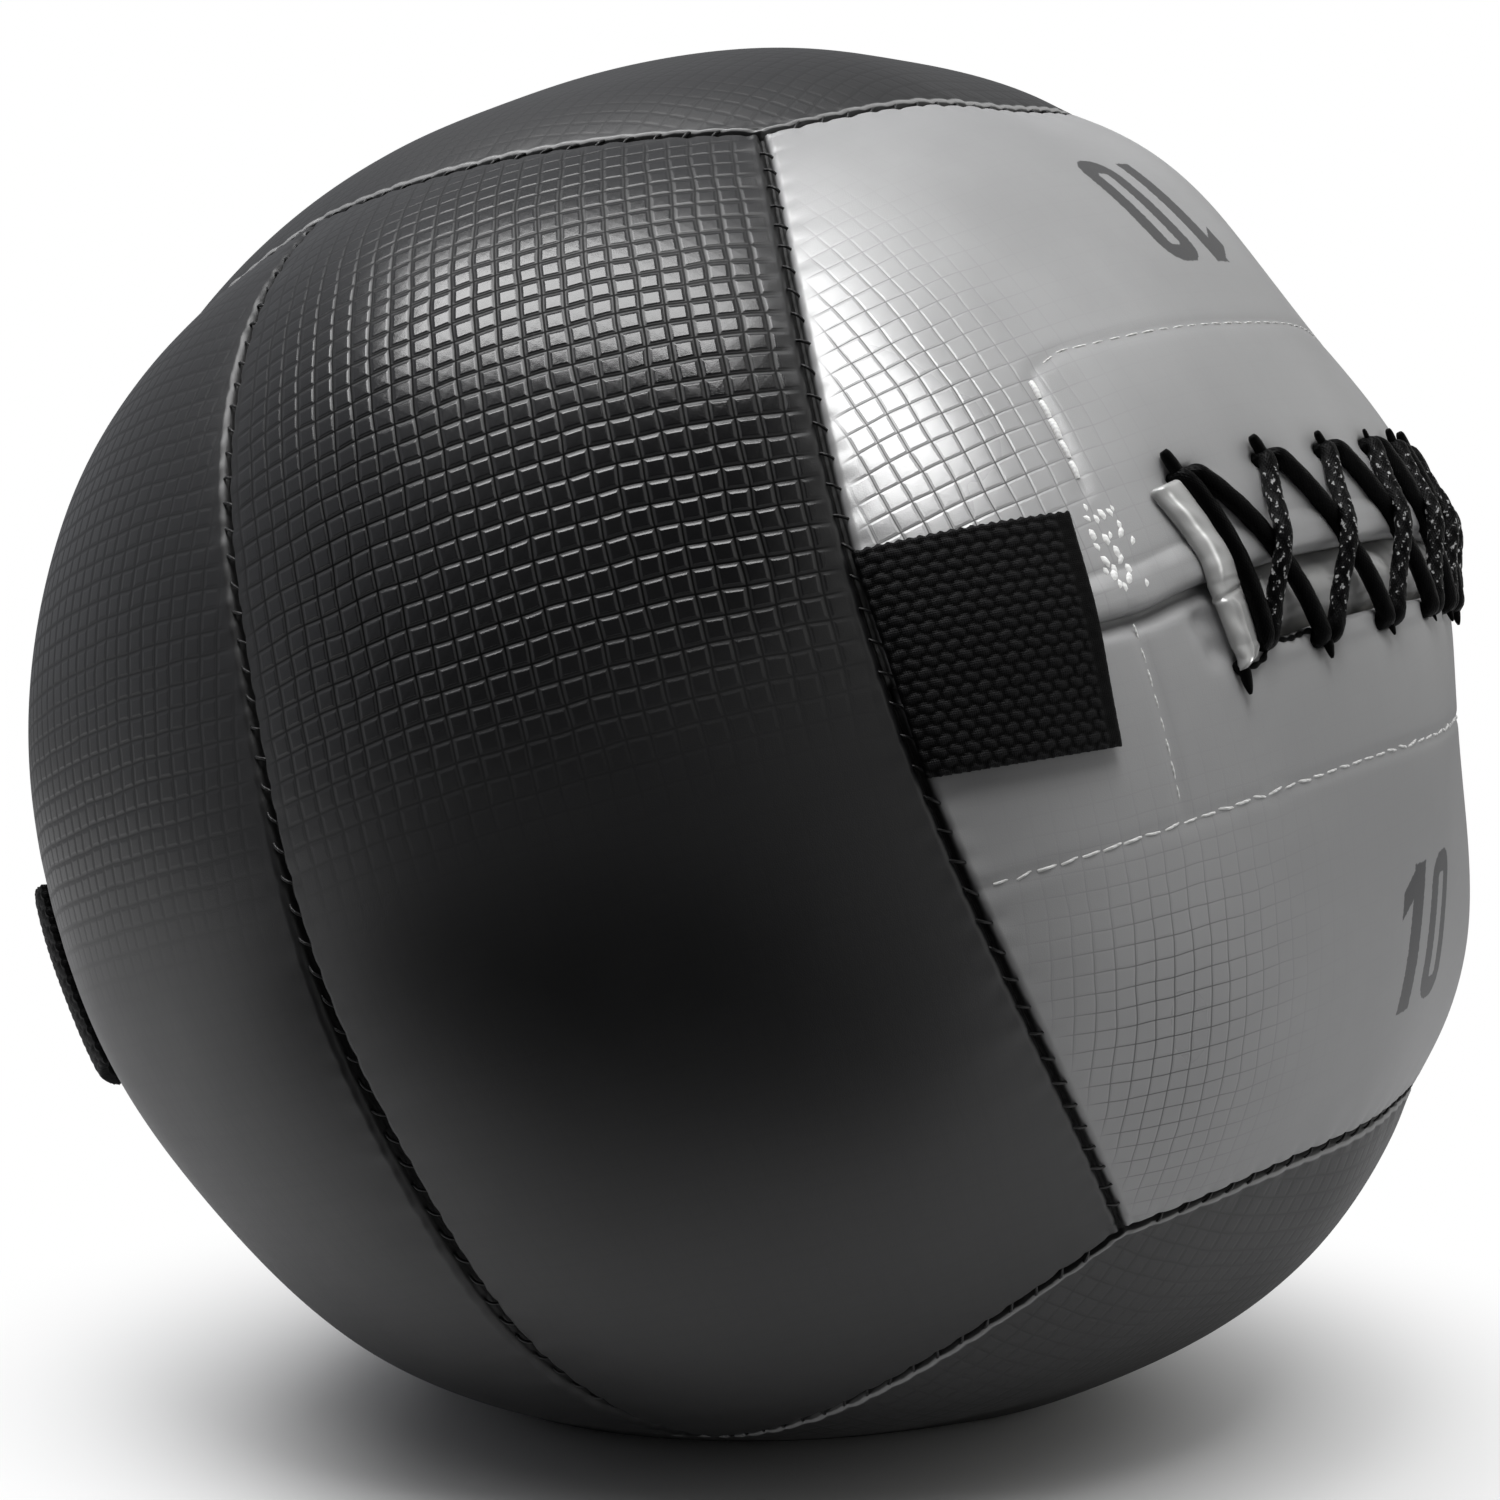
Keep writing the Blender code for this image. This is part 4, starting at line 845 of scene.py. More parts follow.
# Its near-white groove colour is the painted highlight along the rim of the tongue's folded leaf
pale_leather = leather("pale_leather", gray(0.37, 0.365), gray(0.43, 0.425), gray(0.97, 0.96), gray(0.2),
                       shine=0.24, dull=0.25, embossing=0.0)
azimuth = np.linspace(-TONGUE_HALF_SPAN, TONGUE_HALF_SPAN, 260)[:, None]
latitude = np.linspace(TONGUE_LOW, TONGUE_HIGH, 110)[None, :]
azimuth, latitude = grids(azimuth, latitude)
crown = bell(latitude + 2.3, 3.3) * smooth(28.0 - np.abs(azimuth), 0, 5)
lumps = 0.0006 * np.sin(azimuth * 0.55 + 0.8 * np.sin(latitude * 0.7))
lumps = lumps + 0.0003 * np.sin(azimuth * 1.7 + latitude)
pulls = sum(bell(azimuth - hole - 1.2, 1.1) for hole in HOLE_AZIMUTHS[1:] - HOLE_STEP / 2)
height = -TONGUE_DEPTH + crown * (0.0086 + lumps - 0.0006 * pulls)
place = flat_place(azimuth, latitude)
flat_values = [("edge", np.full(azimuth.shape, 0.02)), ("press", np.zeros(azimuth.shape))]
tongue = sheet("tongue_leather", over_face(azimuth, latitude, height),
               over_face(azimuth, latitude, height - TONGUE_THICKNESS), place, flat_values)


def lap_lump(azimuth, latitude):
    """How far the hem of the upper piece stands out of the face, or the open slit lies below it."""
    above = latitude - eased(azimuth, LAP_STOPS)
    hem = HEM_HEIGHT * smooth(above, 0.0, 0.9) * (1 - smooth(above, 1.6, 3.0))
    return hem - 0.0012 * smooth(-above, 0.0, 0.8) * (1 - smooth(-above, 3.6, 5.0))


across, along = np.linspace(0, 1, 56)[:, None], np.linspace(FOLD_LOW, FOLD_HIGH, 130)[None, :]
across, along = grids(across, along)
head = 0.35 * rounding(np.clip((along - 5.7) / 0.5, 0, 1))
left = np.interp(along, *zip(*FOLD_LEFT)) + head
right = np.interp(along, *zip(*FOLD_RIGHT)) - head
azimuth = left + (right - left) * across
latitude = along + 0.25 * across * smooth(along, 5, 6.2)
round_share = np.sqrt(1 - (1 - np.clip(across / 0.26, 0, 1)) ** 2)
roll = 0.0016 * round_share * (1 - 0.40 * smooth(across, 0.35, 1.0))
foot = 1 - smooth(along, -2.4, -1.0)
folded = -0.0007 * bell(along + 1.6 - 0.5 * across, 0.16)
ridge = foot * (0.0004 * bell(across - 0.45, 0.10) - 0.0009 * smooth(across, 0.5, 1.0))
low_end = np.clip((along - FOLD_LOW) / 0.5, 0, 1)
high_end = np.clip((FOLD_HIGH - along) / 0.3, 0, 1)
ends = np.sqrt(low_end * (2 - low_end) * high_end * (2 - high_end))
ripples = 0.00016 * np.sin(along * 3.1 + 5 * across) * bell(across - 0.3, 0.25)
under = 0.0008 + np.maximum(lap_lump(azimuth, latitude), -0.0004) * 0.7
top_height = under + (roll + folded + ridge + ripples) * ends
# Painted highlight: a pale stripe along the leaf's rolled left rim, made by setting its edge value small so
# that the pale groove colour shows
painted_rim_highlight = bell(across - 0.27, 0.06) * smooth(along, -1.0, 0.5) * (1 - smooth(along, 5.4, 5.9))
painted_rim_highlight = painted_rim_highlight * (0.85 + 0.15 * np.sin(along * 6.1 + 2 * np.sin(along * 2.3)))
leaf = sheet("tongue_leaf", over_face(azimuth, latitude, top_height + 0.0003),
             over_face(azimuth, latitude, np.minimum(under - 0.0002, top_height - 0.0001)),
             flat_place(azimuth, latitude),
             [("edge", 0.0008 - 0.0007 * painted_rim_highlight), ("press", np.zeros(azimuth.shape))])
with bpy.context.temp_override(active_object=tongue, selected_editable_objects=[tongue, leaf]):
    bpy.ops.object.join()
fit(tongue, pale_leather, "tongue")

# The lace: one round braided polyester cord, drawn tight. From the last hole of the upper row it zigzags
# out to the left, runs down beside the tongue's fold, and zigzags back, and each hole holds a turn of it.
LACE_RADIUS, LACE_SINK, LACE_UNDER = 0.0019, 0.0003, 0.0052
LACE_SIDES, LACE_STEP = 24, 0.00055
BRAID_STRANDS, BRAID_PITCH = 4, 0.0056
TURN_OFFSET, CORNER_OFFSET = 0.60, 0.15
CROSS_RISE, CROSS_DIP, UNDER_BOW, BAR_BOW = 0.0023, 0.0007, 1.0, 0.45
SLIT_CORNER = (-22.1, -4.9)
STUB_LENGTHS = (1.6, 1.3, 0.95, 0.8, 1.1, 1.4, 0.9)
STUB_WIDTHS = (0.00145, 0.00130, 0.00095, 0.00060, 0.0010, 0.0013, 0.0009)
lace_cord, shader, wires = new_material("lace_cord")
axes = wires.add("ShaderNodeSeparateXYZ", None, Vector=wires.uv())
strands = []
for way in (1, -1):
    turned = wires.plus(wires.times(axes.outputs[0], BRAID_STRANDS),
                        wires.times(axes.outputs[1], way / BRAID_PITCH))
    strands.append(wires.math("SINE", wires.times(wires.math("FRACT", wires.times(turned, 5.0)), math.pi)))
yarns = wires.math("MAXIMUM", *strands)
fuzz, patches = wires.noise(wires.solid(), 1500.0, 3.0), wires.noise(wires.solid(), 1250.0, 2.0)
height = wires.value("weave")
# The colour darkens with the weave value; the strands that run under, the turns in the holes and the little
# ends carry less depth, so they are darker: painted shade
colour = wires.mix(wires.ramp(wires.times(height, yarns), 0.2, 0.9), gray(0.0006, 0.0007),
                   gray(0.004, 0.0042))
# Painted highlights: pale specks where the braid stands high
painted_glints = wires.ramp(wires.times(patches, height), 0.47, 0.60)
wires.feed(shader, Base_Color=wires.mix(painted_glints, colour, gray(0.34)), Specular_IOR_Level=0.07,
           Roughness=wires.plus(0.20, wires.times(fuzz, 0.36)),
           Normal=wires.bump(wires.times(wires.plus(yarns, wires.times(fuzz, 0.8)), 0.00007)))


def cord_line(stops, step, ease):
    """Points at even steps along straight runs between stops, with the corners eased over a length.

    Further columns of the stops, such as the depth of the braid, are carried along.
    """
    stops = np.array(stops)
    lengths = run_along(stops[:, :3])
    places = np.linspace(0, lengths[-1], int(lengths[-1] / step) + 1)
    line = np.stack([np.interp(places, lengths, column) for column in stops.T], axis=1)
    reach = int(3 * ease / step)
    weights = np.exp(-(np.arange(-reach, reach + 1) * step / ease) ** 2 / 2)
    padded = np.concatenate([np.repeat(line[:1], reach, axis=0), line, np.repeat(line[-1:], reach, axis=0)])
    eased_line = np.stack([np.convolve(column, weights / weights.sum(), "valid") for column in padded.T],
                          axis=1)
    eased_line[0], eased_line[-1] = line[0], line[-1]
    return eased_line


def tube(points, radius, sides, relief, depth=1.0):
    """Points round a line, their places on the cord's own map, and its weave's height scaled by the depth,
    which darkens the cord's colour where the depth is low: painted shade on the strands that run under.

    The radius and the weave's depth may change along the line; relief gives the weave's height at a place.
    """
    ahead = unit(np.gradient(points, axis=0))
    sideways = unit(np.cross(ahead, points - ball_centre))
    upward = np.cross(sideways, ahead)
    share = np.arange(sides + 1) / sides
    angle = 2 * math.pi * share
    lengths = run_along(points)
    place = np.stack(np.broadcast_arrays(share[None, :], lengths[:, None]), axis=-1)
    weave = 1 + (relief(place) - 1) * np.reshape(depth, (-1, 1))
    around = np.cos(angle)[None, :, None] * sideways[:, None]
    around = around + np.sin(angle)[None, :, None] * upward[:, None]
    reach = np.broadcast_to(np.asarray(radius, float).reshape(-1, 1), weave.shape)
    shell = points[:, None] + around * (reach * (0.84 + 0.16 * weave))[..., None]
    return shell, place, relief(place) * np.reshape(depth, (-1, 1))


def rod(name, parts):
    """A mesh of closed tubes, each given by its points, map and weave."""
    coordinates, faces, places, weaves, base = [], [], [], [], 0
    for points, place, weave in parts:
        rings, sides = points.shape[0], points.shape[1] - 1
        coordinates += [points[:, :-1].reshape(-1, 3), points[[0], :-1].mean(axis=1),
                        points[[-1], :-1].mean(axis=1)]
        weaves += [weave[:, :-1].ravel(), [0.5, 0.5]]
        ring, side_index = np.meshgrid(np.arange(rings - 1), np.arange(sides), indexing="ij")
        here, beside = ring * sides + side_index, ring * sides + (side_index + 1) % sides
        quads = np.stack([here, beside, beside + sides, here + sides], axis=-1).reshape(-1, 4) + base
        corner = np.stack([place[ring, side_index], place[ring, side_index + 1],
                           place[ring + 1, side_index + 1], place[ring + 1, side_index]], axis=-2)
        faces += quads.tolist()
        places.append(corner.reshape(-1, 2))
        for centre, first, way in ((rings * sides, 0, 1), (rings * sides + 1, (rings - 1) * sides, -1)):
            for number in range(sides):
                pair = [base + first + (number + 1) % sides, base + first + number][::way]
                faces.append([base + centre, *pair])
                places.append(np.array([place[0 if way > 0 else -1, number]] * 3))
        base += rings * sides + 2
    mesh = bpy.data.meshes.new(name)
    mesh.from_pydata(np.concatenate(coordinates).tolist(), [], faces)
    mesh.shade_smooth()
    mesh.uv_layers.new(name="cut").data.foreach_set("uv", np.concatenate(places).ravel())
    mesh.attributes.new("weave", "FLOAT", "POINT").data.foreach_set("value", np.concatenate(weaves))
    return new_object(name, mesh)


def braid(place):
    """Height of the crossing strands of a braided cord."""
    first = place[..., 0] * BRAID_STRANDS + place[..., 1] / BRAID_PITCH
    second = place[..., 0] * BRAID_STRANDS - place[..., 1] / BRAID_PITCH
    bulge = np.abs(np.sin(math.pi * first)), np.abs(np.sin(math.pi * second))
    over = (np.floor(first) + np.floor(second)) % 2 < 1
    return np.maximum(bulge[0] * np.where(over, 1.0, 0.45), bulge[1] * np.where(over, 0.45, 1.0))


def lie(azimuth, latitude, rise=0.0):
    """Where the lace lies, drawn tight over the hem, the slit and the side of the tongue's fold."""
    beside_fold = bell(azimuth - np.interp(latitude, *zip(*FOLD_RIGHT)), 1.2)
    bridged = 0.0004 * math.exp(-((latitude - 1.2) / 3.0) ** 2)
    return over_face(azimuth, latitude, LACE_RADIUS - LACE_SINK + bridged + 0.0006 * beside_fold + rise)


def beside(hole):
    """How far from a hole's middle its two ends of lace lie; at the slit's corner they run together."""
    return CORNER_OFFSET if hole == SLIT_CORNER else TURN_OFFSET


def lace_turn(hole, inward_side):
    """Stops where the lace goes in at one side of a hole and comes out at the other."""
    azimuth, latitude = hole
    return [(*over_face(azimuth + share * inward_side * beside(hole), latitude, height), 0.5)
            for share, height in ((1, 0.0016), (1.05, -0.0022), (0.5, -LACE_UNDER), (-0.5, -LACE_UNDER),
                                  (-1.05, -0.0022), (-1, 0.0016))]


def lace_strand(start, end, start_side, end_side, over):
    """Stops of the lace from one row to the other; the strands that cross over show more braid."""
    first = np.array(start) + [start_side * beside(start), 0]
    last = np.array(end) + [end_side * beside(end), 0]
    stops = []
    for share in np.linspace(0.09, 0.91, 15):
        azimuth, latitude = first + (last - first) * share
        azimuth += 0 if over else UNDER_BOW * math.sin(math.pi * share)
        crossing = math.exp(-((share - 0.5) / 0.20) ** 2)
        stops.append((*lie(azimuth, latitude, crossing * (CROSS_RISE if over else -CROSS_DIP)),
                      1.0 if over else 0.3))
    return stops


lace_rows = ([(hole, UPPER_HOLES) for hole in HOLE_AZIMUTHS],
             [SLIT_CORNER] + [(hole, LOWER_HOLES) for hole in HOLE_AZIMUTHS[1:]])
stops, row, last = [], 0, len(HOLE_AZIMUTHS) - 1
hole = lace_rows[0][last]
stops += [(*over_face(hole[0] + share, hole[1], -LACE_UNDER), 0.5) for share in (3.0, 1.5, -0.5)]
for pair in range(last, 0, -1):
    hole = lace_rows[row][pair]
    stops += lace_turn(hole, 1)[-2:] if pair == last else lace_turn(hole, 1)
    stops += lace_strand(hole, lace_rows[1 - row][pair - 1], -1, 1, row == 0)
    row = 1 - row
stops += lace_turn(lace_rows[row][0], 1)
start, end = np.array(lace_rows[row][0]), np.array(lace_rows[1 - row][0])
for share in (0.08, 0.2, 0.33, 0.5, 0.66, 0.8, 0.92):
    azimuth, latitude = start + (end - start) * share
    azimuth += BAR_BOW * math.sin(math.pi * share) - TURN_OFFSET + (TURN_OFFSET - CORNER_OFFSET) * share
    stops.append((*lie(azimuth, latitude), 0.3))
row = 1 - row
for pair in range(last):
    hole = lace_rows[row][pair]
    stops += lace_turn(hole, -1)
    stops += lace_strand(hole, lace_rows[1 - row][pair + 1], 1, -1, row == 1)
    row = 1 - row
hole = lace_rows[row][last]
stops += lace_turn(hole, -1)[:2]
stops += [(*over_face(hole[0] + share, hole[1], -LACE_UNDER), 0.5) for share in (-0.5, 1.5, 3.0)]
cord = cord_line(stops, LACE_STEP, 0.0011)
lace_parts = [tube(cord[:, :3], LACE_RADIUS, LACE_SIDES, braid, cord[:, 3])]
# The stiff little ends that stick out at each hole, where the cord doubles back, and the thin one that
# runs from the drawn-shut hole to the slit's corner
for hole_row, way, root, tilt in ((lace_rows[0], 1, -0.65, -0.55),
                                  ([PINCHED_HOLE] + lace_rows[1][1:], -1, -0.1, -0.1)):
    for number, (azimuth, latitude) in enumerate(hole_row):
        length = way * STUB_LENGTHS[number] * (1 if way > 0 else 0.95)
        tip = [over_face(azimuth + root + tilt * share, latitude + 0.2 * way + length * share, rise)
               for share, rise in ((-0.3, -0.0008), (0.05, 0.0010), (1.0, 0.0016))]
        tip = cord_line(tip, 0.0003, 0.0003)
        taper = np.linspace(0, 1, len(tip))
        thinning = 0.15 if way > 0 else 0.65
        widths = STUB_WIDTHS[number] * (1 - thinning * taper ** 2) * np.sqrt(1 - 0.6 * taper ** 12)
        lace_parts.append(tube(tip, widths, 12, braid, 0.4))
thin_stops = ((-24.5, -6.2, 0.0002), (-23.4, -6.15, 0.0006), (-22.5, -5.9, 0.0006), (-21.9, -5.1, 0.0004),
              (-21.0, -4.95, -0.0002), (-19.6, -5.15, 0.0001), (-18.6, -5.05, -0.0002),
              (-17.4, -4.95, 0.0001), (-16.4, -5.2, -0.0006))
thin_line = cord_line([over_face(*stop) for stop in thin_stops], 0.0004, 0.0006)
thin_widths = 0.00055 + 0.00015 * np.sin(np.arange(len(thin_line)) * 0.9)
lace_parts.append(tube(thin_line, thin_widths, 10, braid, 0.4))
lace = rod("lace_braid", lace_parts)
fit(lace, lace_cord, "lace")

# The four tabs: doubled strips of coarse black webbing, folded over at the tip, with both ends caught in a
# face seam. The weave is in staggered oblong knuckles, and each tab stands out from its seam and rides a
# body of its own.
TAB_WIDTH, TAB_HEIGHT, TAB_THICKNESS, TAB_LIFT = 0.041, 0.0445, 0.003, 0.0004
TAB_DROOP, TAB_SLANT = 1.58, 1.70
KNUCKLE_WIDTH, KNUCKLE_HEIGHT, KNUCKLE_RISE = 0.0033, 0.0021, 0.00055
TAB_STEP = 0.0004
black_webbing = woven("black_webbing", plain_weave, gray(0.0006, 0.0007), gray(0.009, 0.0095), 0.00042,
                      0.00008, 0.48, sheen=0.0, weave_value="weave", specular=0.14)


def knuckles(across, up):
    """Height, from 0 to 1, of a webbing's staggered knuckles at places in metres."""
    bent = up + 0.00018 * np.sin(across * 2 * math.pi / KNUCKLE_WIDTH)
    row = np.floor(bent / KNUCKLE_HEIGHT)
    share = across / KNUCKLE_WIDTH + 0.5 * (row % 2) + 0.06 * np.sin(row * 12.9)
    level = bent / KNUCKLE_HEIGHT - row
    return np.abs(np.sin(math.pi * share)) ** 0.6 * np.sin(math.pi * level) ** 0.7


tab_seam = CORNER_AZIMUTH + FACE_BOW
places = {"tab_front_left": (-tab_seam, 1), "tab_front_right": (tab_seam, -1),
          "tab_rear_left": (tab_seam - 180, -1), "tab_rear_right": (180 - tab_seam, 1)}
for name, (seam, way) in places.items():
    # Laid flat, the strip runs from the seam over the top layer, round the tip, and back under to the seam
    run = np.arange(0, 2 * TAB_WIDTH + TAB_STEP / 2, TAB_STEP)
    out = np.minimum(run, 2 * TAB_WIDTH - run)
    tip_share = np.clip((out - TAB_WIDTH + 0.0015) / 0.0015, 0, 1)
    up = np.arange(-TAB_HEIGHT / 2, TAB_HEIGHT / 2 + TAB_STEP / 2, TAB_STEP)
    upper_layer = np.where(run <= TAB_WIDTH, 1, -1)
    layer = upper_layer * np.sqrt(1 - tip_share ** 2)
    out_grid, up_grid = np.meshgrid(out, up, indexing="ij")
    # Along the folded tip the weave value falls, which flattens the knuckles and also darkens the colour
    # there: painted shade
    folded = smooth(out_grid, TAB_WIDTH - 0.0040, TAB_WIDTH - 0.0028)
    weave = knuckles(run[:, None] + 0 * up_grid, up_grid) * (1 - 0.75 * folded)
    wavy = 0.0003 * np.sin(up_grid * 190 + way) * out_grid / TAB_WIDTH
    middle_height = TAB_LIFT + TAB_THICKNESS / 2 + 0.0004 * np.sin(np.pi * out_grid / TAB_WIDTH)
    half = (TAB_THICKNESS / 2 - KNUCKLE_RISE * (1 - weave)) * layer[:, None]
    edge_share = np.clip((np.abs(up_grid) - TAB_HEIGHT / 2 + 0.0012) / 0.0012, 0, 1)
    half = half * (1 - 0.35 * edge_share ** 2)
    ragged = 0.00022 * np.sin(run[:, None] * 2 * math.pi / 0.0019) * edge_share * np.sign(up_grid)
    slant = 0.98 + np.radians(TAB_SLANT) * BALL_RADIUS / TAB_WIDTH * up_grid / TAB_HEIGHT
    azimuth = seam + way * np.degrees((0.001 + out_grid * slant) / BALL_RADIUS)
    latitude = 0.5 - TAB_DROOP * out_grid / TAB_WIDTH + np.degrees((up_grid + ragged) / BALL_RADIUS)
    directions = direction(azimuth, latitude)
    from_seam = 0.001 + out_grid
    hollow = PILLOW_HEIGHT * pillow(from_seam)
    skin_radius = form(directions) + hollow
    dip = 0.0009 * bell(out_grid, 0.0022)
    shell = rest(directions, skin_radius + middle_height + wavy + half - dip)
    middle = (len(run) - 1) // 2
    # The two layers meet along the sides, so the strip closes into one flat tube
    cut = np.stack([run[:middle + 1, None] + 0 * up_grid[:middle + 1], up_grid[:middle + 1]], axis=-1)
    parts = (shell[:middle + 1], shell[:middle - 1:-1], cut, weave[:middle + 1])
    top_grid, under_grid, cut, weave_value = (part[::way] for part in parts)
    tab = sheet(name + "_webbing", top_grid, under_grid, cut, [("weave", weave_value)])
    fit(tab, black_webbing, name, name)

# The threads. Thick black thread is whipped over each seam, and paler thread makes the topstitched
# rectangle round the slit, the lines across the face, and the bar tack at the rectangle's side.
wires, given, sewn_out = new_group("sewn_thread", "Geometry",
                                   {"Geometry": "Geometry", "Half Length": 0.0018, "Thread": 0.0003,
                                    "Crown": 0.0008, "Sink": 0.0004, "Waver": 0.15, "Finish": "Material"},
                                   {"Geometry": "Geometry"})
sewing = wires.tree
below = wires.times(given["Sink"], -1.0)
start = wires.make("ShaderNodeCombineXYZ", X=wires.times(given["Half Length"], -1.0), Z=below)
middle = wires.make("ShaderNodeCombineXYZ", Z=wires.times(given["Crown"], 2.0))
end = wires.make("ShaderNodeCombineXYZ", X=given["Half Length"], Z=below)
bend = wires.make("GeometryNodeCurveQuadraticBezier", Resolution=8, Start=start, Middle=middle, End=end)
ring = wires.make("GeometryNodeCurvePrimitiveCircle", Resolution=7, Radius=given["Thread"])
solid_thread = wires.make("GeometryNodeCurveToMesh", Curve=bend, Profile_Curve=ring, Fill_Caps=True)
along, outward = (wires.make("GeometryNodeInputNamedAttribute", {"data_type": "FLOAT_VECTOR"}, Name=name)
                  for name in ("along", "outward"))
facing_out = wires.make("FunctionNodeAlignRotationToVector", {"axis": "Z"}, Vector=outward)
aligned = wires.make("FunctionNodeAlignRotationToVector", {"axis": "X", "pivot_axis": "Z"},
                     Rotation=facing_out, Vector=along)
swing = wires.random(5, wires.times(given["Waver"], -1.0), wires.times(given["Waver"], 1.0))
twist = wires.make("FunctionNodeAxisAngleToRotation", Axis=(0, 0, 1), Angle=swing)
rotated = wires.make("FunctionNodeRotateRotation", {"rotation_space": "LOCAL"}, i0=aligned, i1=twist)
threads = wires.make("GeometryNodeInstanceOnPoints", Points=given["Geometry"], Instance=solid_thread,
                     Rotation=rotated, Scale=wires.random(8, 0.86, 1.1))
loose = wires.make("GeometryNodeRealizeInstances", Geometry=threads)
finished = wires.make("GeometryNodeSetMaterial", Geometry=loose, Material=given["Finish"])
wires.feed(sewn_out, i0=finished)


def made_by(group, marks, **values):
    """The mesh that a node group makes of some marks, with the given values for its sockets."""
    marked = new_object(marks.name + "_marks", marks)
    maker = marked.modifiers.new("maker", "NODES")
    maker.node_group = group
    for item in group.interface.items_tree:
        key = item.name.replace(" ", "_")
        if item.in_out == "INPUT" and key in values:
            maker[item.identifier] = values[key]
    bpy.context.view_layer.update()
    mesh = bpy.data.meshes.new_from_object(marked.evaluated_get(bpy.context.evaluated_depsgraph_get()))
    bpy.data.objects.remove(marked)
    mesh.shade_smooth()
    return mesh


def thread_material(name, dark, pale, roughness, specular, ply_height=0.00006):
    """Twisted thread, with its plies as fine ridges and a little fuzz."""
    material, shader, wires = new_material(name)
    solid = wires.solid()
    plies = wires.add("ShaderNodeTexWave", {"wave_type": "BANDS", "bands_direction": "DIAGONAL"},
                      Vector=solid, Scale=520.0, Distortion=1.5, Detail=1.0).outputs["Fac"]
    fuzz = wires.noise(solid, 2400.0, 2.0)
    shade = wires.plus(wires.times(plies, 0.6), wires.times(fuzz, 0.4))
    wires.feed(shader, Base_Color=wires.mix(wires.ramp(shade, 0.15, 0.8), dark, pale),
               Roughness=wires.plus(roughness, wires.times(fuzz, 0.2)),
               Normal=wires.bump(wires.times(shade, ply_height)), Specular_IOR_Level=specular)
    return material


def stitches(name, points, ways, material, half_length, thread, crown, sink, waver):
    """One thread over each point, lying in the given way, as one plain mesh."""
    outward = unit(points - ball_centre)
    marks = bpy.data.meshes.new(name)
    marks.vertices.add(len(points))
    marks.vertices.foreach_set("co", points.ravel())
    for value_name, value in (("along", ways), ("outward", outward)):
        marks.attributes.new(value_name, "FLOAT_VECTOR", "POINT").data.foreach_set("vector", value.ravel())
    mesh = made_by(sewing, marks, Half_Length=half_length, Thread=thread, Crown=crown, Sink=sink,
                   Waver=waver, Finish=material)
    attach(new_object(name, mesh), "ball")


def seam_marks(seam_directions, origin, pitch=STITCH_PITCH):
    """Directions at even steps along a seam from its origin, and the seam's way at each."""
    lengths = run_along(seam_directions, BALL_RADIUS)
    origin = {"middle": lengths[-1] / 2, "start": 0.0}.get(origin, origin)
    low, high = math.ceil((0.004 - origin) / pitch), math.floor((lengths[-1] - 0.004 - origin) / pitch)
    places = origin + pitch * np.arange(low, high + 1)

    def at(run):
        found = np.stack([np.interp(run, lengths, seam_directions[:, axis]) for axis in range(3)], axis=1)
        return unit(found)

    ways = at(places + 0.0005) - at(places - 0.0005)
    return at(places), unit(ways), places - origin


black_thread = thread_material("black_thread", gray(0.0015, 0.0016), gray(0.009, 0.0095), 0.28, 0.5)
fine = np.linspace(-1, 1, 801)
seam_lines = []
for way in (-1, 1):
    azimuth, latitude = face_seam(fine)
    seam_lines.append((direction(way * azimuth, latitude), "middle", "face"))
    seam_lines.append((direction(180 - way * azimuth, latitude), "middle", "face"))
    seam_lines.append((direction(way * middle_seam(fine)[0], middle_seam(fine)[1]), "middle", "middle"))
    for rear in (False, True):
        for end in (-1.0, 1.0):
            azimuth, latitude = side_point((fine + 1) / 2, end, rear)
            seam_lines.append((direction(way * azimuth, latitude), "start", "cap"))
for end in (-CORNER_LATITUDE, CORNER_LATITUDE):
    seam_lines.append((direction(CORNER_AZIMUTH * fine, end), "middle", "cap"))
    seam_lines.append((direction(180 + CORNER_AZIMUTH * fine, end), "middle", "cap"))
mark_points, mark_ways = [], []
for line, origin, kind in seam_lines:
    found, ways, places = seam_marks(line, origin)
    crosswise = np.cross(found, ways)
    sink = np.where(half_gap(kind, places) > 0.0008, -0.0008, -0.0002)
    mark_points.append(rest(found, form(found) + sink))
    mark_ways.append((crosswise * 0.80 + ways * 0.60) @ lean.T)
stitches("seam_thread", np.concatenate(mark_points), np.concatenate(mark_ways), black_thread,
         half_length=0.0019, thread=0.00032, crown=0.0004, sink=0.0006, waver=0.25)

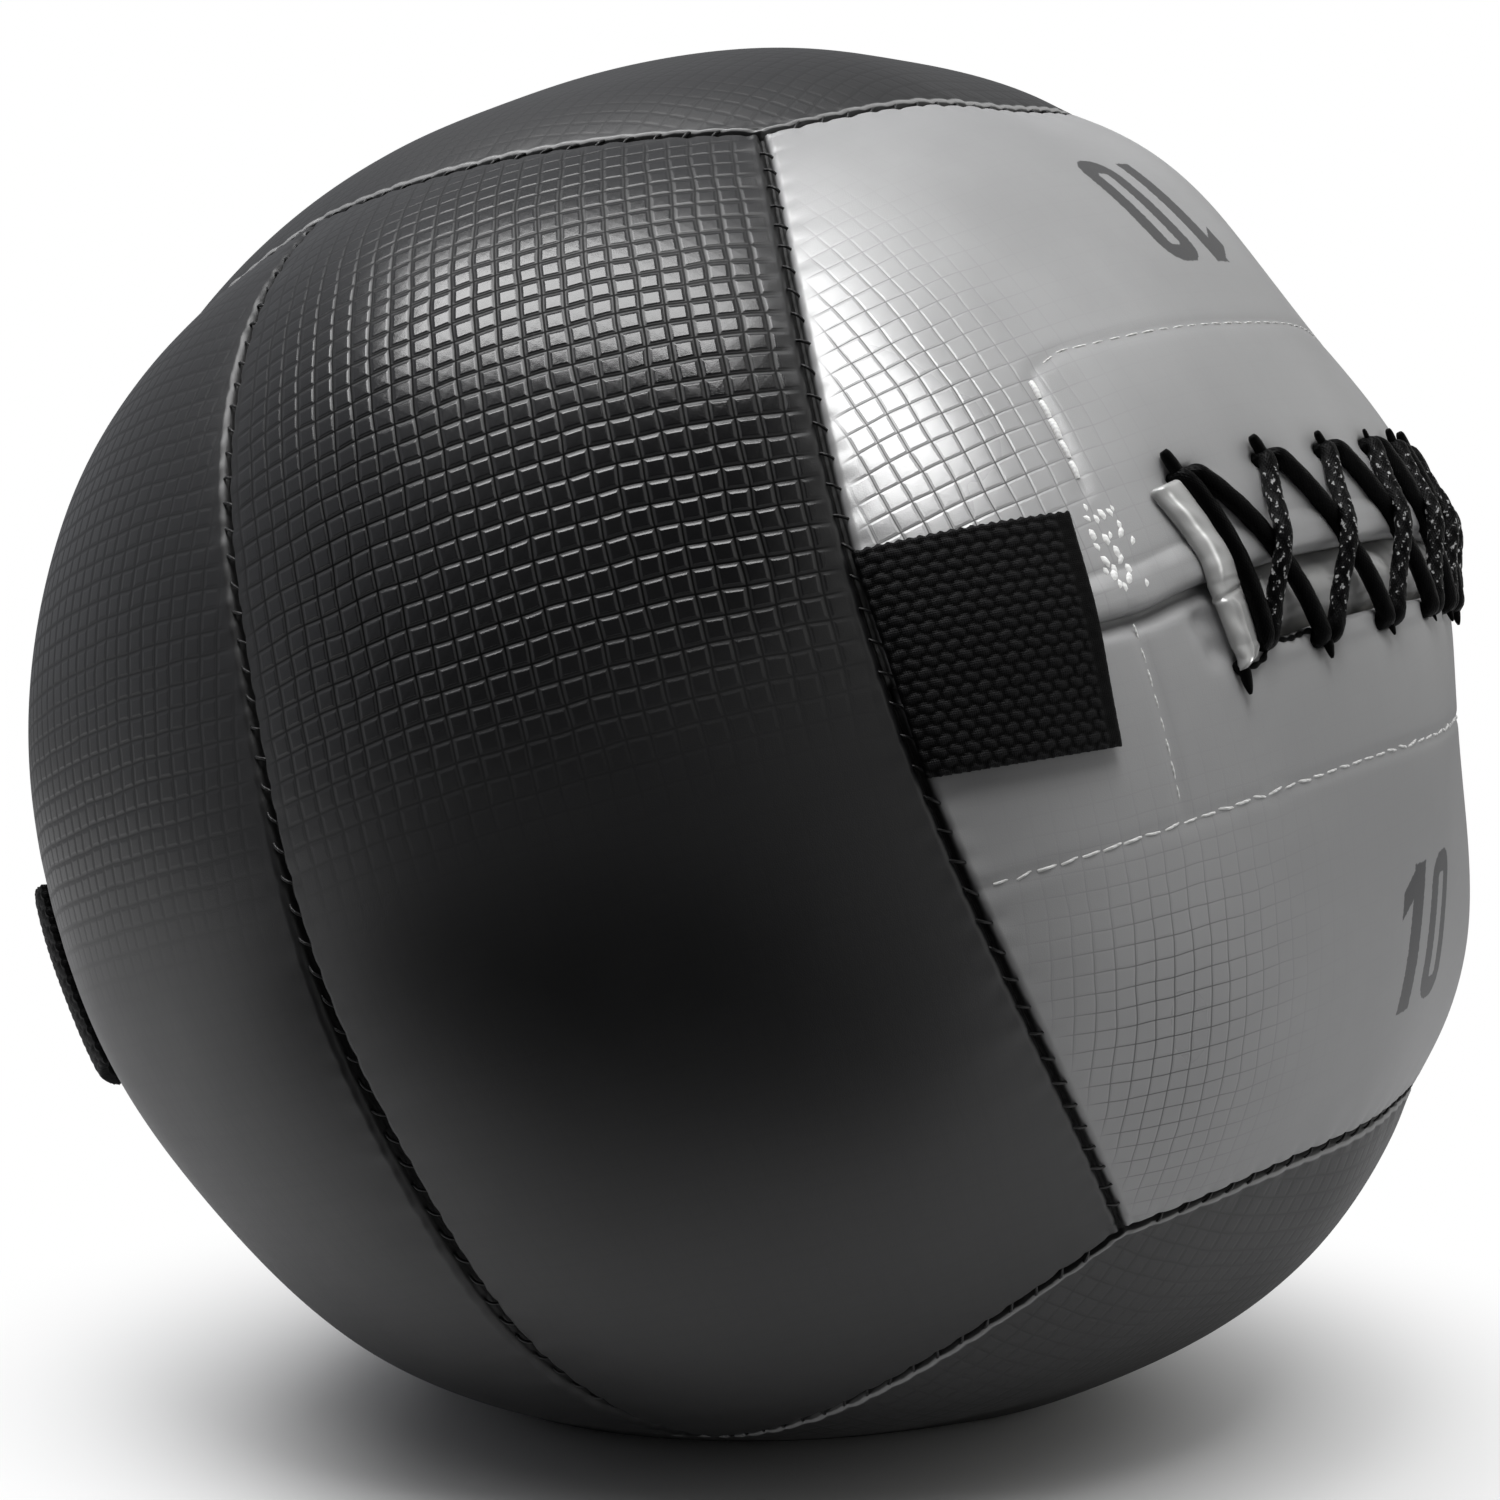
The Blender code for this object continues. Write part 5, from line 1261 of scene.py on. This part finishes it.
pale_thread = thread_material("pale_thread", gray(0.55, 0.54), gray(0.80, 0.79), 0.45, 0.4)
thick_thread = thread_material("thick_thread", gray(0.80, 0.79), gray(0.97, 0.96), 0.40, 0.5, 0.000015)
TOPSTITCH_PITCH = 0.0045
for number, (thread, waver, line) in enumerate(TOP_STITCHES):
    stops = np.array(line)
    dense = np.concatenate([start + (end - start) * np.linspace(0, 1, 200)[:, None]
                            for start, end in zip(stops[:-1], stops[1:])])
    found, ways, _ = seam_marks(direction(dense[:, 0], dense[:, 1]), "start", TOPSTITCH_PITCH)
    latitude = np.degrees(np.arcsin(found[:, 2]))
    azimuth = np.degrees(np.arctan2(found[:, 0], -found[:, 1]))
    from_seam = np.radians(face_seam(latitude / CORNER_LATITUDE)[0] - np.abs(azimuth)) * BALL_RADIUS
    hollow = PILLOW_HEIGHT * pillow(from_seam)
    bump = np.where(latitude > -0.8, lap_lump(azimuth, latitude), 0)
    stitches("topstitching_" + str(number), rest(found, form(found) + hollow + bump - 0.0004),
             ways @ lean.T, thick_thread if thread > 0.0005 else pale_thread, half_length=0.00188,
             thread=thread, crown=0.00022, sink=0.00022, waver=waver)

tacks = np.array([(-31.9, 6.3), (-32.1, 5.6), (-32.2, 4.5), (-32.2, 3.7), (-31.5, 5.4), (-31.0, 5.6),
                  (-31.4, 4.0), (-31.0, 4.2), (-30.4, 5.6), (-30.1, 5.8), (-30.1, 4.7), (-30.2, 4.2),
                  (-31.0, 3.1), (-30.9, 2.6), (-32.0, 2.7), (-32.2, 2.1), (-31.8, 1.6), (-31.7, 1.0),
                  (-31.4, 0.8), (-29.6, 3.5), (-30.6, 1.8), (-29.8, 0.7), (-31.6, 2.1), (-30.9, 1.2)])
found = direction(*tacks.T)
upwards = np.array([0, 0, 1]) - found * found[:, [2]]
tack_ways = unit(upwards) @ lean.T
stitches("bar_tack", over_face(*tacks.T, lap_lump(*tacks.T) - 0.0007), tack_ways, thick_thread,
         half_length=0.0013, thread=0.00085, crown=0.0003, sink=0.0004, waver=0.75)

# The foam pads, one behind each panel: soft open-cell foam, cut a little smaller than the panel, with
# corners and edges rounded off by the pull of the seams. The front one has a window for the lacing.
PAD_DEPTH, PAD_THICKNESS, PAD_INSET, PAD_ROUNDING = 0.0030, 0.0088, 0.0035, 0.0085
WINDOW_HALF_SPAN, WINDOW_LOW, WINDOW_HIGH = 32.9, -15.0, 17.6
foam, shader, wires = new_material("foam")
solid = wires.solid()
cells = wires.add("ShaderNodeTexVoronoi", {"feature": "F1"}, Vector=solid, Scale=900.0).outputs["Distance"]
pores = wires.ramp(cells, 0.15, 0.55)
cloud = wires.noise(solid, 22.0, 4.0, 0.6)
colour = wires.mix(wires.times(pores, wires.ramp(cloud, 0.3, 0.7, 0.6, 1.0)), gray(0.035, 0.038),
                   gray(0.13, 0.14))
wires.feed(shader, Base_Color=colour, Roughness=wires.ramp(pores, 0.0, 1.0, 0.98, 0.86),
           Normal=wires.bump(wires.times(pores, 0.0003)), Specular_IOR_Level=0.2)


def pad(name, directions, kept=None, window=None):
    """A foam pad over a grid of directions that stops short of its panel's seams."""
    runs = edge_runs(directions)
    near = np.minimum.reduce(runs)
    if window is not None:
        near = np.minimum(near, window)
    full = np.sqrt(1 - (1 - np.clip(near / PAD_ROUNDING, 0, 1)) ** 2)
    hollow = np.prod([pillow(run + PAD_INSET) for run in runs], axis=0)
    radius = form(directions) + PILLOW_HEIGHT * hollow - PAD_DEPTH - 0.0012 * (1 - hollow)
    puckers = 0.00035 * np.sin(runs[0] * 70 + 2 * np.sin(runs[2] * 40)) * np.sin(runs[2] * 55)
    half = PAD_THICKNESS / 2
    outer = rest(directions, radius - half * (1 - full) + puckers * full, PAD_DEPTH)
    inner = rest(directions, radius - 2 * half + half * (1 - full) * 0.92, PAD_DEPTH + PAD_THICKNESS)
    piece = sheet(name + "_foam", outer, inner, cut_places(directions, (0, 90)), kept=kept)
    fit(piece, foam, name)


def inset_shares(length, coarse=0.004):
    """Shares along a pad, which stops short of the seams at both ends."""
    margin = PAD_INSET / length
    return margin + (1 - 2 * margin) * shares(length, coarse, fine=0.0008, growth=1.25, turned=0.006)


for way, rear, backwards, name, places in sides(inset_shares(SIDE_WIDTH)[:, None],
                                                2 * inset_shares(MIDDLE_LENGTH)[None, :] - 1):
    directions = direction(way * places[0], places[1])
    pad(name + "_pad", directions[::-1] if backwards else directions)

pad_cap = cap_directions(inset_shares(CAP_WIDTH), inset_shares(CAP_WIDTH))
pad("top_pad", pad_cap)
pad("bottom_pad", pad_cap[:, ::-1] * np.array([1, 1, -1]))
pad_face = 2 * inset_shares(FACE_LENGTH) - 1
azimuth, latitude = face_place(pad_face[:, None], CORNER_LATITUDE * pad_face[None, :], True)
pad("rear_pad", direction(azimuth, latitude))
pad_face = 2 * inset_shares(FACE_LENGTH, 0.002) - 1
azimuth, latitude = face_place(pad_face[:, None], CORNER_LATITUDE * pad_face[None, :])
place = flat_place(azimuth, latitude)
window_size = np.radians([WINDOW_HALF_SPAN, (WINDOW_HIGH - WINDOW_LOW) / 2]) * BALL_RADIUS
window_middle = np.array([0, np.radians(WINDOW_HIGH + WINDOW_LOW) / 2 * BALL_RADIUS])
apart = np.abs(place - window_middle) - window_size
from_window = np.linalg.norm(np.maximum(apart, 0), axis=-1) + np.minimum(apart.max(axis=-1), 0)
corner_mean = sum(quad_corners(from_window)) / 4
pad("front_pad", direction(azimuth, latitude), corner_mean > 0, np.maximum(from_window, 0))

# The inner bag: two halves of close-woven cotton, sewn together round the middle, with a narrow seam
# there and soft creases where the foam presses on it. It holds the filling.
BAG_DEPTH, BAG_THICKNESS, BAG_RIDGE, BAG_APART = 0.0134, 0.0010, 0.0006, 0.0003
BAG_COUNT, FILLING_COUNT, WEIGHT_BAG_COUNT = 96, 110, 84


def dome(upper, count):
    """Directions over a half of the ball, as one square grid whose edge lies along the equator."""
    across, up = np.linspace(-1, 1, count)[:, None], np.linspace(-1, 1, count)[None, :]
    right, ahead = across * np.sqrt(1 - up ** 2 / 2), up * np.sqrt(1 - across ** 2 / 2)
    reach = np.clip(np.hypot(right, ahead), 0, 1)
    azimuth = np.degrees(np.arctan2(right, -ahead))
    directions = direction(azimuth, 90 * (1 - reach))
    return (directions, reach) if upper else (directions[:, ::-1] * np.array([1, 1, -1]), reach[:, ::-1])


def layer(directions, depth):
    """Points of an inner layer, which follows the ball's form."""
    return rest(directions, form(directions) - depth, depth + 0.001)


for name, upper in (("inner_bag_upper", True), ("inner_bag_lower", False)):
    directions, reach = dome(upper, BAG_COUNT)
    bends = 2 * np.sin(directions @ np.array([5.0, 22, 9]))
    creases = 0.0005 * np.sin(directions @ np.array([90.0, 20, 35]) + bends)
    seam_ridge = BAG_RIDGE * bell((1 - reach) * 275, 4.0)
    apart = (1 if upper else -1) * np.array([0, 0, BAG_APART]) @ lean.T
    outer = layer(directions, BAG_DEPTH - creases * (1 - seam_ridge / BAG_RIDGE) - seam_ridge)
    inner = layer(directions, BAG_DEPTH + BAG_THICKNESS - creases)
    place = directions[..., :2] * BALL_RADIUS
    bag = sheet(name + "_cloth", outer + apart, inner + apart, place)
    fit(bag, lining_cloth, name)

# The filling: textile waste packed tight in two halves, so that its outside is all soft lumps and tufts. A
# round hollow in the middle holds the weight bag.
FILLING_DEPTH, FILLING_APART, WEIGHT_RADIUS = 0.0158, 0.0006, 0.058
tuft_draws = np.random.RandomState(21)
tuft_ways = tuft_draws.normal(size=(40, 3)) * 16
tuft_starts = tuft_draws.uniform(0, 6.28, 40)
filling_cloth = woven("textile_filling", plain_weave, (0.10, 0.12, 0.15, 1), (0.42, 0.41, 0.40, 1), 0.0023,
                      0.0007, 0.93, sheen=0.5)
for name, upper in (("filling_upper", True), ("filling_lower", False)):
    directions, reach = dome(upper, FILLING_COUNT)
    tufts = np.abs(np.sin(directions @ tuft_ways.T + tuft_starts)).mean(axis=-1) - 0.64
    outer = layer(directions, FILLING_DEPTH - 0.010 * np.minimum(tufts, 0.05))
    hollow_share = WEIGHT_RADIUS / (BALL_RADIUS - FILLING_DEPTH)
    flat = directions.copy()
    flat[..., 2] = 0
    flat /= np.maximum(np.linalg.norm(flat, axis=-1, keepdims=True), 1e-9)
    way = 1 if upper else -1
    rim_width = BALL_RADIUS - FILLING_DEPTH - 0.001 - WEIGHT_RADIUS
    ring_reach = WEIGHT_RADIUS + rim_width * smooth(reach, hollow_share, 1)
    plane = flat * ring_reach[..., None] + np.array([0, 0, way * FILLING_APART])
    in_hollow = reach < hollow_share
    lift = np.radians(90 * (1 - np.clip(reach / hollow_share, 0, 1)))[..., None]
    bowl = (flat * np.cos(lift) + np.array([0, 0, way]) * np.sin(lift)) * (WEIGHT_RADIUS + 0.0004)
    inner = to_floor(np.where(in_hollow[..., None], bowl, plane))
    outer = outer + np.array([0, 0, way * FILLING_APART]) @ lean.T
    place = directions[..., :2] * BALL_RADIUS
    filling = sheet(name + "_rags", outer, inner, place)
    fit(filling, filling_cloth, name)

# The weight bag: two cups of heavy black cloth, closed with a welt round the middle and filled hard with
# iron shot, so that the grains show through it as small bumps.
WEIGHT_BAG_THICKNESS = 0.0013
weight_cloth = woven("weight_bag_cloth", plain_weave, gray(0.004), gray(0.022, 0.023), 0.0009,
                     0.00016, 0.6)
for name, upper in (("weight_bag_upper", True), ("weight_bag_lower", False)):
    directions, reach = dome(upper, WEIGHT_BAG_COUNT)
    grains = 0.00022 * np.sin(directions @ tuft_ways[:12].T * 4 + tuft_starts[:12]).mean(axis=-1)
    welt = 0.0007 * bell((1 - reach) * 91, 2.5)
    apart = (1 if upper else -1) * np.array([0, 0, BAG_APART])
    outer = to_floor(directions * (WEIGHT_RADIUS - 0.0008 + grains + welt)[..., None] + apart)
    inner_radius = WEIGHT_RADIUS - 0.0008 - WEIGHT_BAG_THICKNESS + grains
    inner = to_floor(directions * inner_radius[..., None] + apart)
    place = directions[..., :2] * WEIGHT_RADIUS
    cup = sheet(name + "_cloth", outer, inner, place)
    fit(cup, weight_cloth, name)

# The shot: iron grains of about 3 mm, packed into a ball. Those on the outside are scattered over a core.
SHOT_RADIUS, GRAIN_RADIUS = 0.0556, 0.0016
iron, shader, wires = new_material("iron_shot")
solid = wires.solid()
rust = wires.ramp(wires.noise(solid, 160.0, 4.0, 0.6), 0.5, 0.7)
wires.feed(shader, Base_Color=wires.mix(rust, (0.16, 0.155, 0.15, 1), (0.14, 0.06, 0.03, 1)),
           Metallic=wires.ramp(rust, 0.0, 1.0, 0.9, 0.2),
           Roughness=wires.ramp(wires.noise(solid, 700.0, 2.0), 0.2, 0.8, 0.35, 0.7),
           Normal=wires.bump(wires.times(wires.noise(solid, 2600.0, 2.0), 0.0001)))
wires, given, poured_out = new_group("poured_grains", "Geometry",
                                     {"Geometry": "Geometry", "Core Radius": SHOT_RADIUS - GRAIN_RADIUS,
                                      "Grain Radius": GRAIN_RADIUS, "Density": 150000.0,
                                      "Finish": "Material"},
                                     {"Geometry": "Geometry"})
core = wires.make("GeometryNodeMeshIcoSphere", Radius=given["Core Radius"], Subdivisions=5)
spots = wires.make("GeometryNodeDistributePointsOnFaces", {"distribute_method": "POISSON"}, Mesh=core,
                   Distance_Min=wires.times(given["Grain Radius"], 1.72), Density_Max=given["Density"],
                   Seed=3)
grain_shape = wires.make("GeometryNodeMeshIcoSphere", Radius=given["Grain Radius"], Subdivisions=2)
grains = wires.make("GeometryNodeInstanceOnPoints", Points=spots, Instance=grain_shape,
                    Scale=wires.random(2, 0.75, 1.0))
both = wires.add("GeometryNodeJoinGeometry")
wires.feed(both, i0=wires.make("GeometryNodeRealizeInstances", Geometry=grains))
wires.feed(both, i0=core)
realized = wires.make("GeometryNodeRealizeInstances", Geometry=both.outputs[0])
wires.feed(poured_out, i0=wires.make("GeometryNodeSetMaterial", Geometry=realized,
                                     Material=given["Finish"]))
shot_mesh = made_by(wires.tree, bpy.data.meshes.new("shot_core"), Finish=iron)
shot_mesh.transform(Matrix.Translation(ball_centre))
shot = new_object("shot_grains", shot_mesh)
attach(shot, "ball")
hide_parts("shot")

# The studio: a pale floor, a soft lamp over the ball on the left, two high above the camera, and dim
# surroundings that are bright behind the ball and to the right of it. The camera sees both as white.
scene.view_settings.view_transform = "Standard"
FLOOR_NEAR, FLOOR_FAR = 0.08, 0.26
DARK_MIDDLE, DARK_NEAR, DARK_FAR = (-0.75, -0.25, 0), 0.51, 0.66
floor_mesh = bpy.data.meshes.new("floor")
floor_mesh.from_pydata([(-40, -40, 0), (40, -40, 0), (40, 40, 0), (-40, 40, 0)], [], [(0, 1, 2, 3)])
floor = new_object("floor", floor_mesh)
floor_paint, shader, wires = new_material("floor_paint")
place = wires.solid()
reach = wires.vector("LENGTH", place, output="Value")
rays = wires.add("ShaderNodeLightPath").outputs
# Painted shade: the floor's colour, which the camera doesn't see, is dark to the front left of the ball, so
# that the black leather reflects dark there
apart = wires.vector("DISTANCE", place, DARK_MIDDLE, "Value")
floor_with_painted_shade = wires.mix(wires.ramp(apart, DARK_NEAR, DARK_FAR), gray(0.01), gray(0.62, 0.625))
speckle = wires.times(wires.noise(place, 60.0, 3.0), 0.02)
seen = wires.mix(rays["Is Camera Ray"], floor_with_painted_shade, gray(0.90))
wires.feed(shader, Base_Color=wires.mix(speckle, seen, gray(0.5)), Roughness=0.9, Specular_IOR_Level=0.1)
white = wires.make("ShaderNodeEmission", Color=(1, 1, 1, 1), Strength=1.0)
far_off = wires.times(wires.ramp(reach, FLOOR_NEAR, FLOOR_FAR), rays["Is Camera Ray"])
blend = wires.make("ShaderNodeMixShader", i0=far_off, i1=shader.outputs[0], i2=white)
wires.feed(wires.tree.nodes["Material Output"], Surface=blend)
floor_mesh.materials.append(floor_paint)

surroundings = bpy.data.worlds.new("surroundings")
surroundings.use_nodes = True
scene.world = surroundings
wires = Wiring(surroundings.node_tree)
ray_way = wires.add("ShaderNodeTexCoord").outputs["Generated"]
glow = gray(0.03)
for glow_way, low, high, glow_colour in (((165, 35), 0.1, 0.7, (0.28, 0.285, 0.30, 1)),
                                         ((38, 8), 0.1, 0.9, gray(0.55, 0.54))):
    towards = wires.vector("DOT_PRODUCT", ray_way, tuple(direction(*glow_way)), "Value")
    glow = wires.mix(wires.ramp(towards, low, high), glow, glow_colour)
rays = wires.add("ShaderNodeLightPath").outputs
direct = wires.math("MAXIMUM", rays["Is Camera Ray"], rays["Is Transmission Ray"])
wires.feed(wires.tree.nodes["Background"], Color=wires.mix(direct, glow, (1, 1, 1, 1)))


def soft_lamp(name, azimuth, elevation, along, length, width, power):
    """A lamp 1.6 m from the ball's middle, a way round and up, with its length along a given way."""
    data = bpy.data.lights.new(name, "AREA")
    data.shape = "RECTANGLE"
    data.size, data.size_y = length, width
    data.energy = power
    lamp = new_object(name, data)
    outward = direction(azimuth, elevation)
    sideways = unit(np.array(along) - outward * (outward @ along))
    columns = np.stack([sideways, np.cross(outward, sideways), outward, ball_centre + outward * 1.6],
                       axis=1)
    lamp.matrix_world = Matrix([*columns.tolist(), [0, 0, 0, 1]])
    return lamp


soft_lamp("overhead_lamp", -112, 70, (-0.15, 1, 0), 1.55, 0.70, 22)
wide_lamp = soft_lamp("wide_lamp", -45, 57, (1, 0, 0), 0.75, 0.75, 12)
wide_lamp.visible_glossy = False
# This lamp only puts the shine on the gray leather's left edge
edge_lamp = soft_lamp("edge_lamp", -54, 53, (1, 0, 0), 0.7, 1.25, 42)
edge_lamp.visible_diffuse = False
shiny_pieces = bpy.data.collections.new("shiny_pieces")
for piece in (upper_piece, tongue):
    shiny_pieces.objects.link(piece)
edge_lamp.light_linking.receiver_collection = shiny_pieces
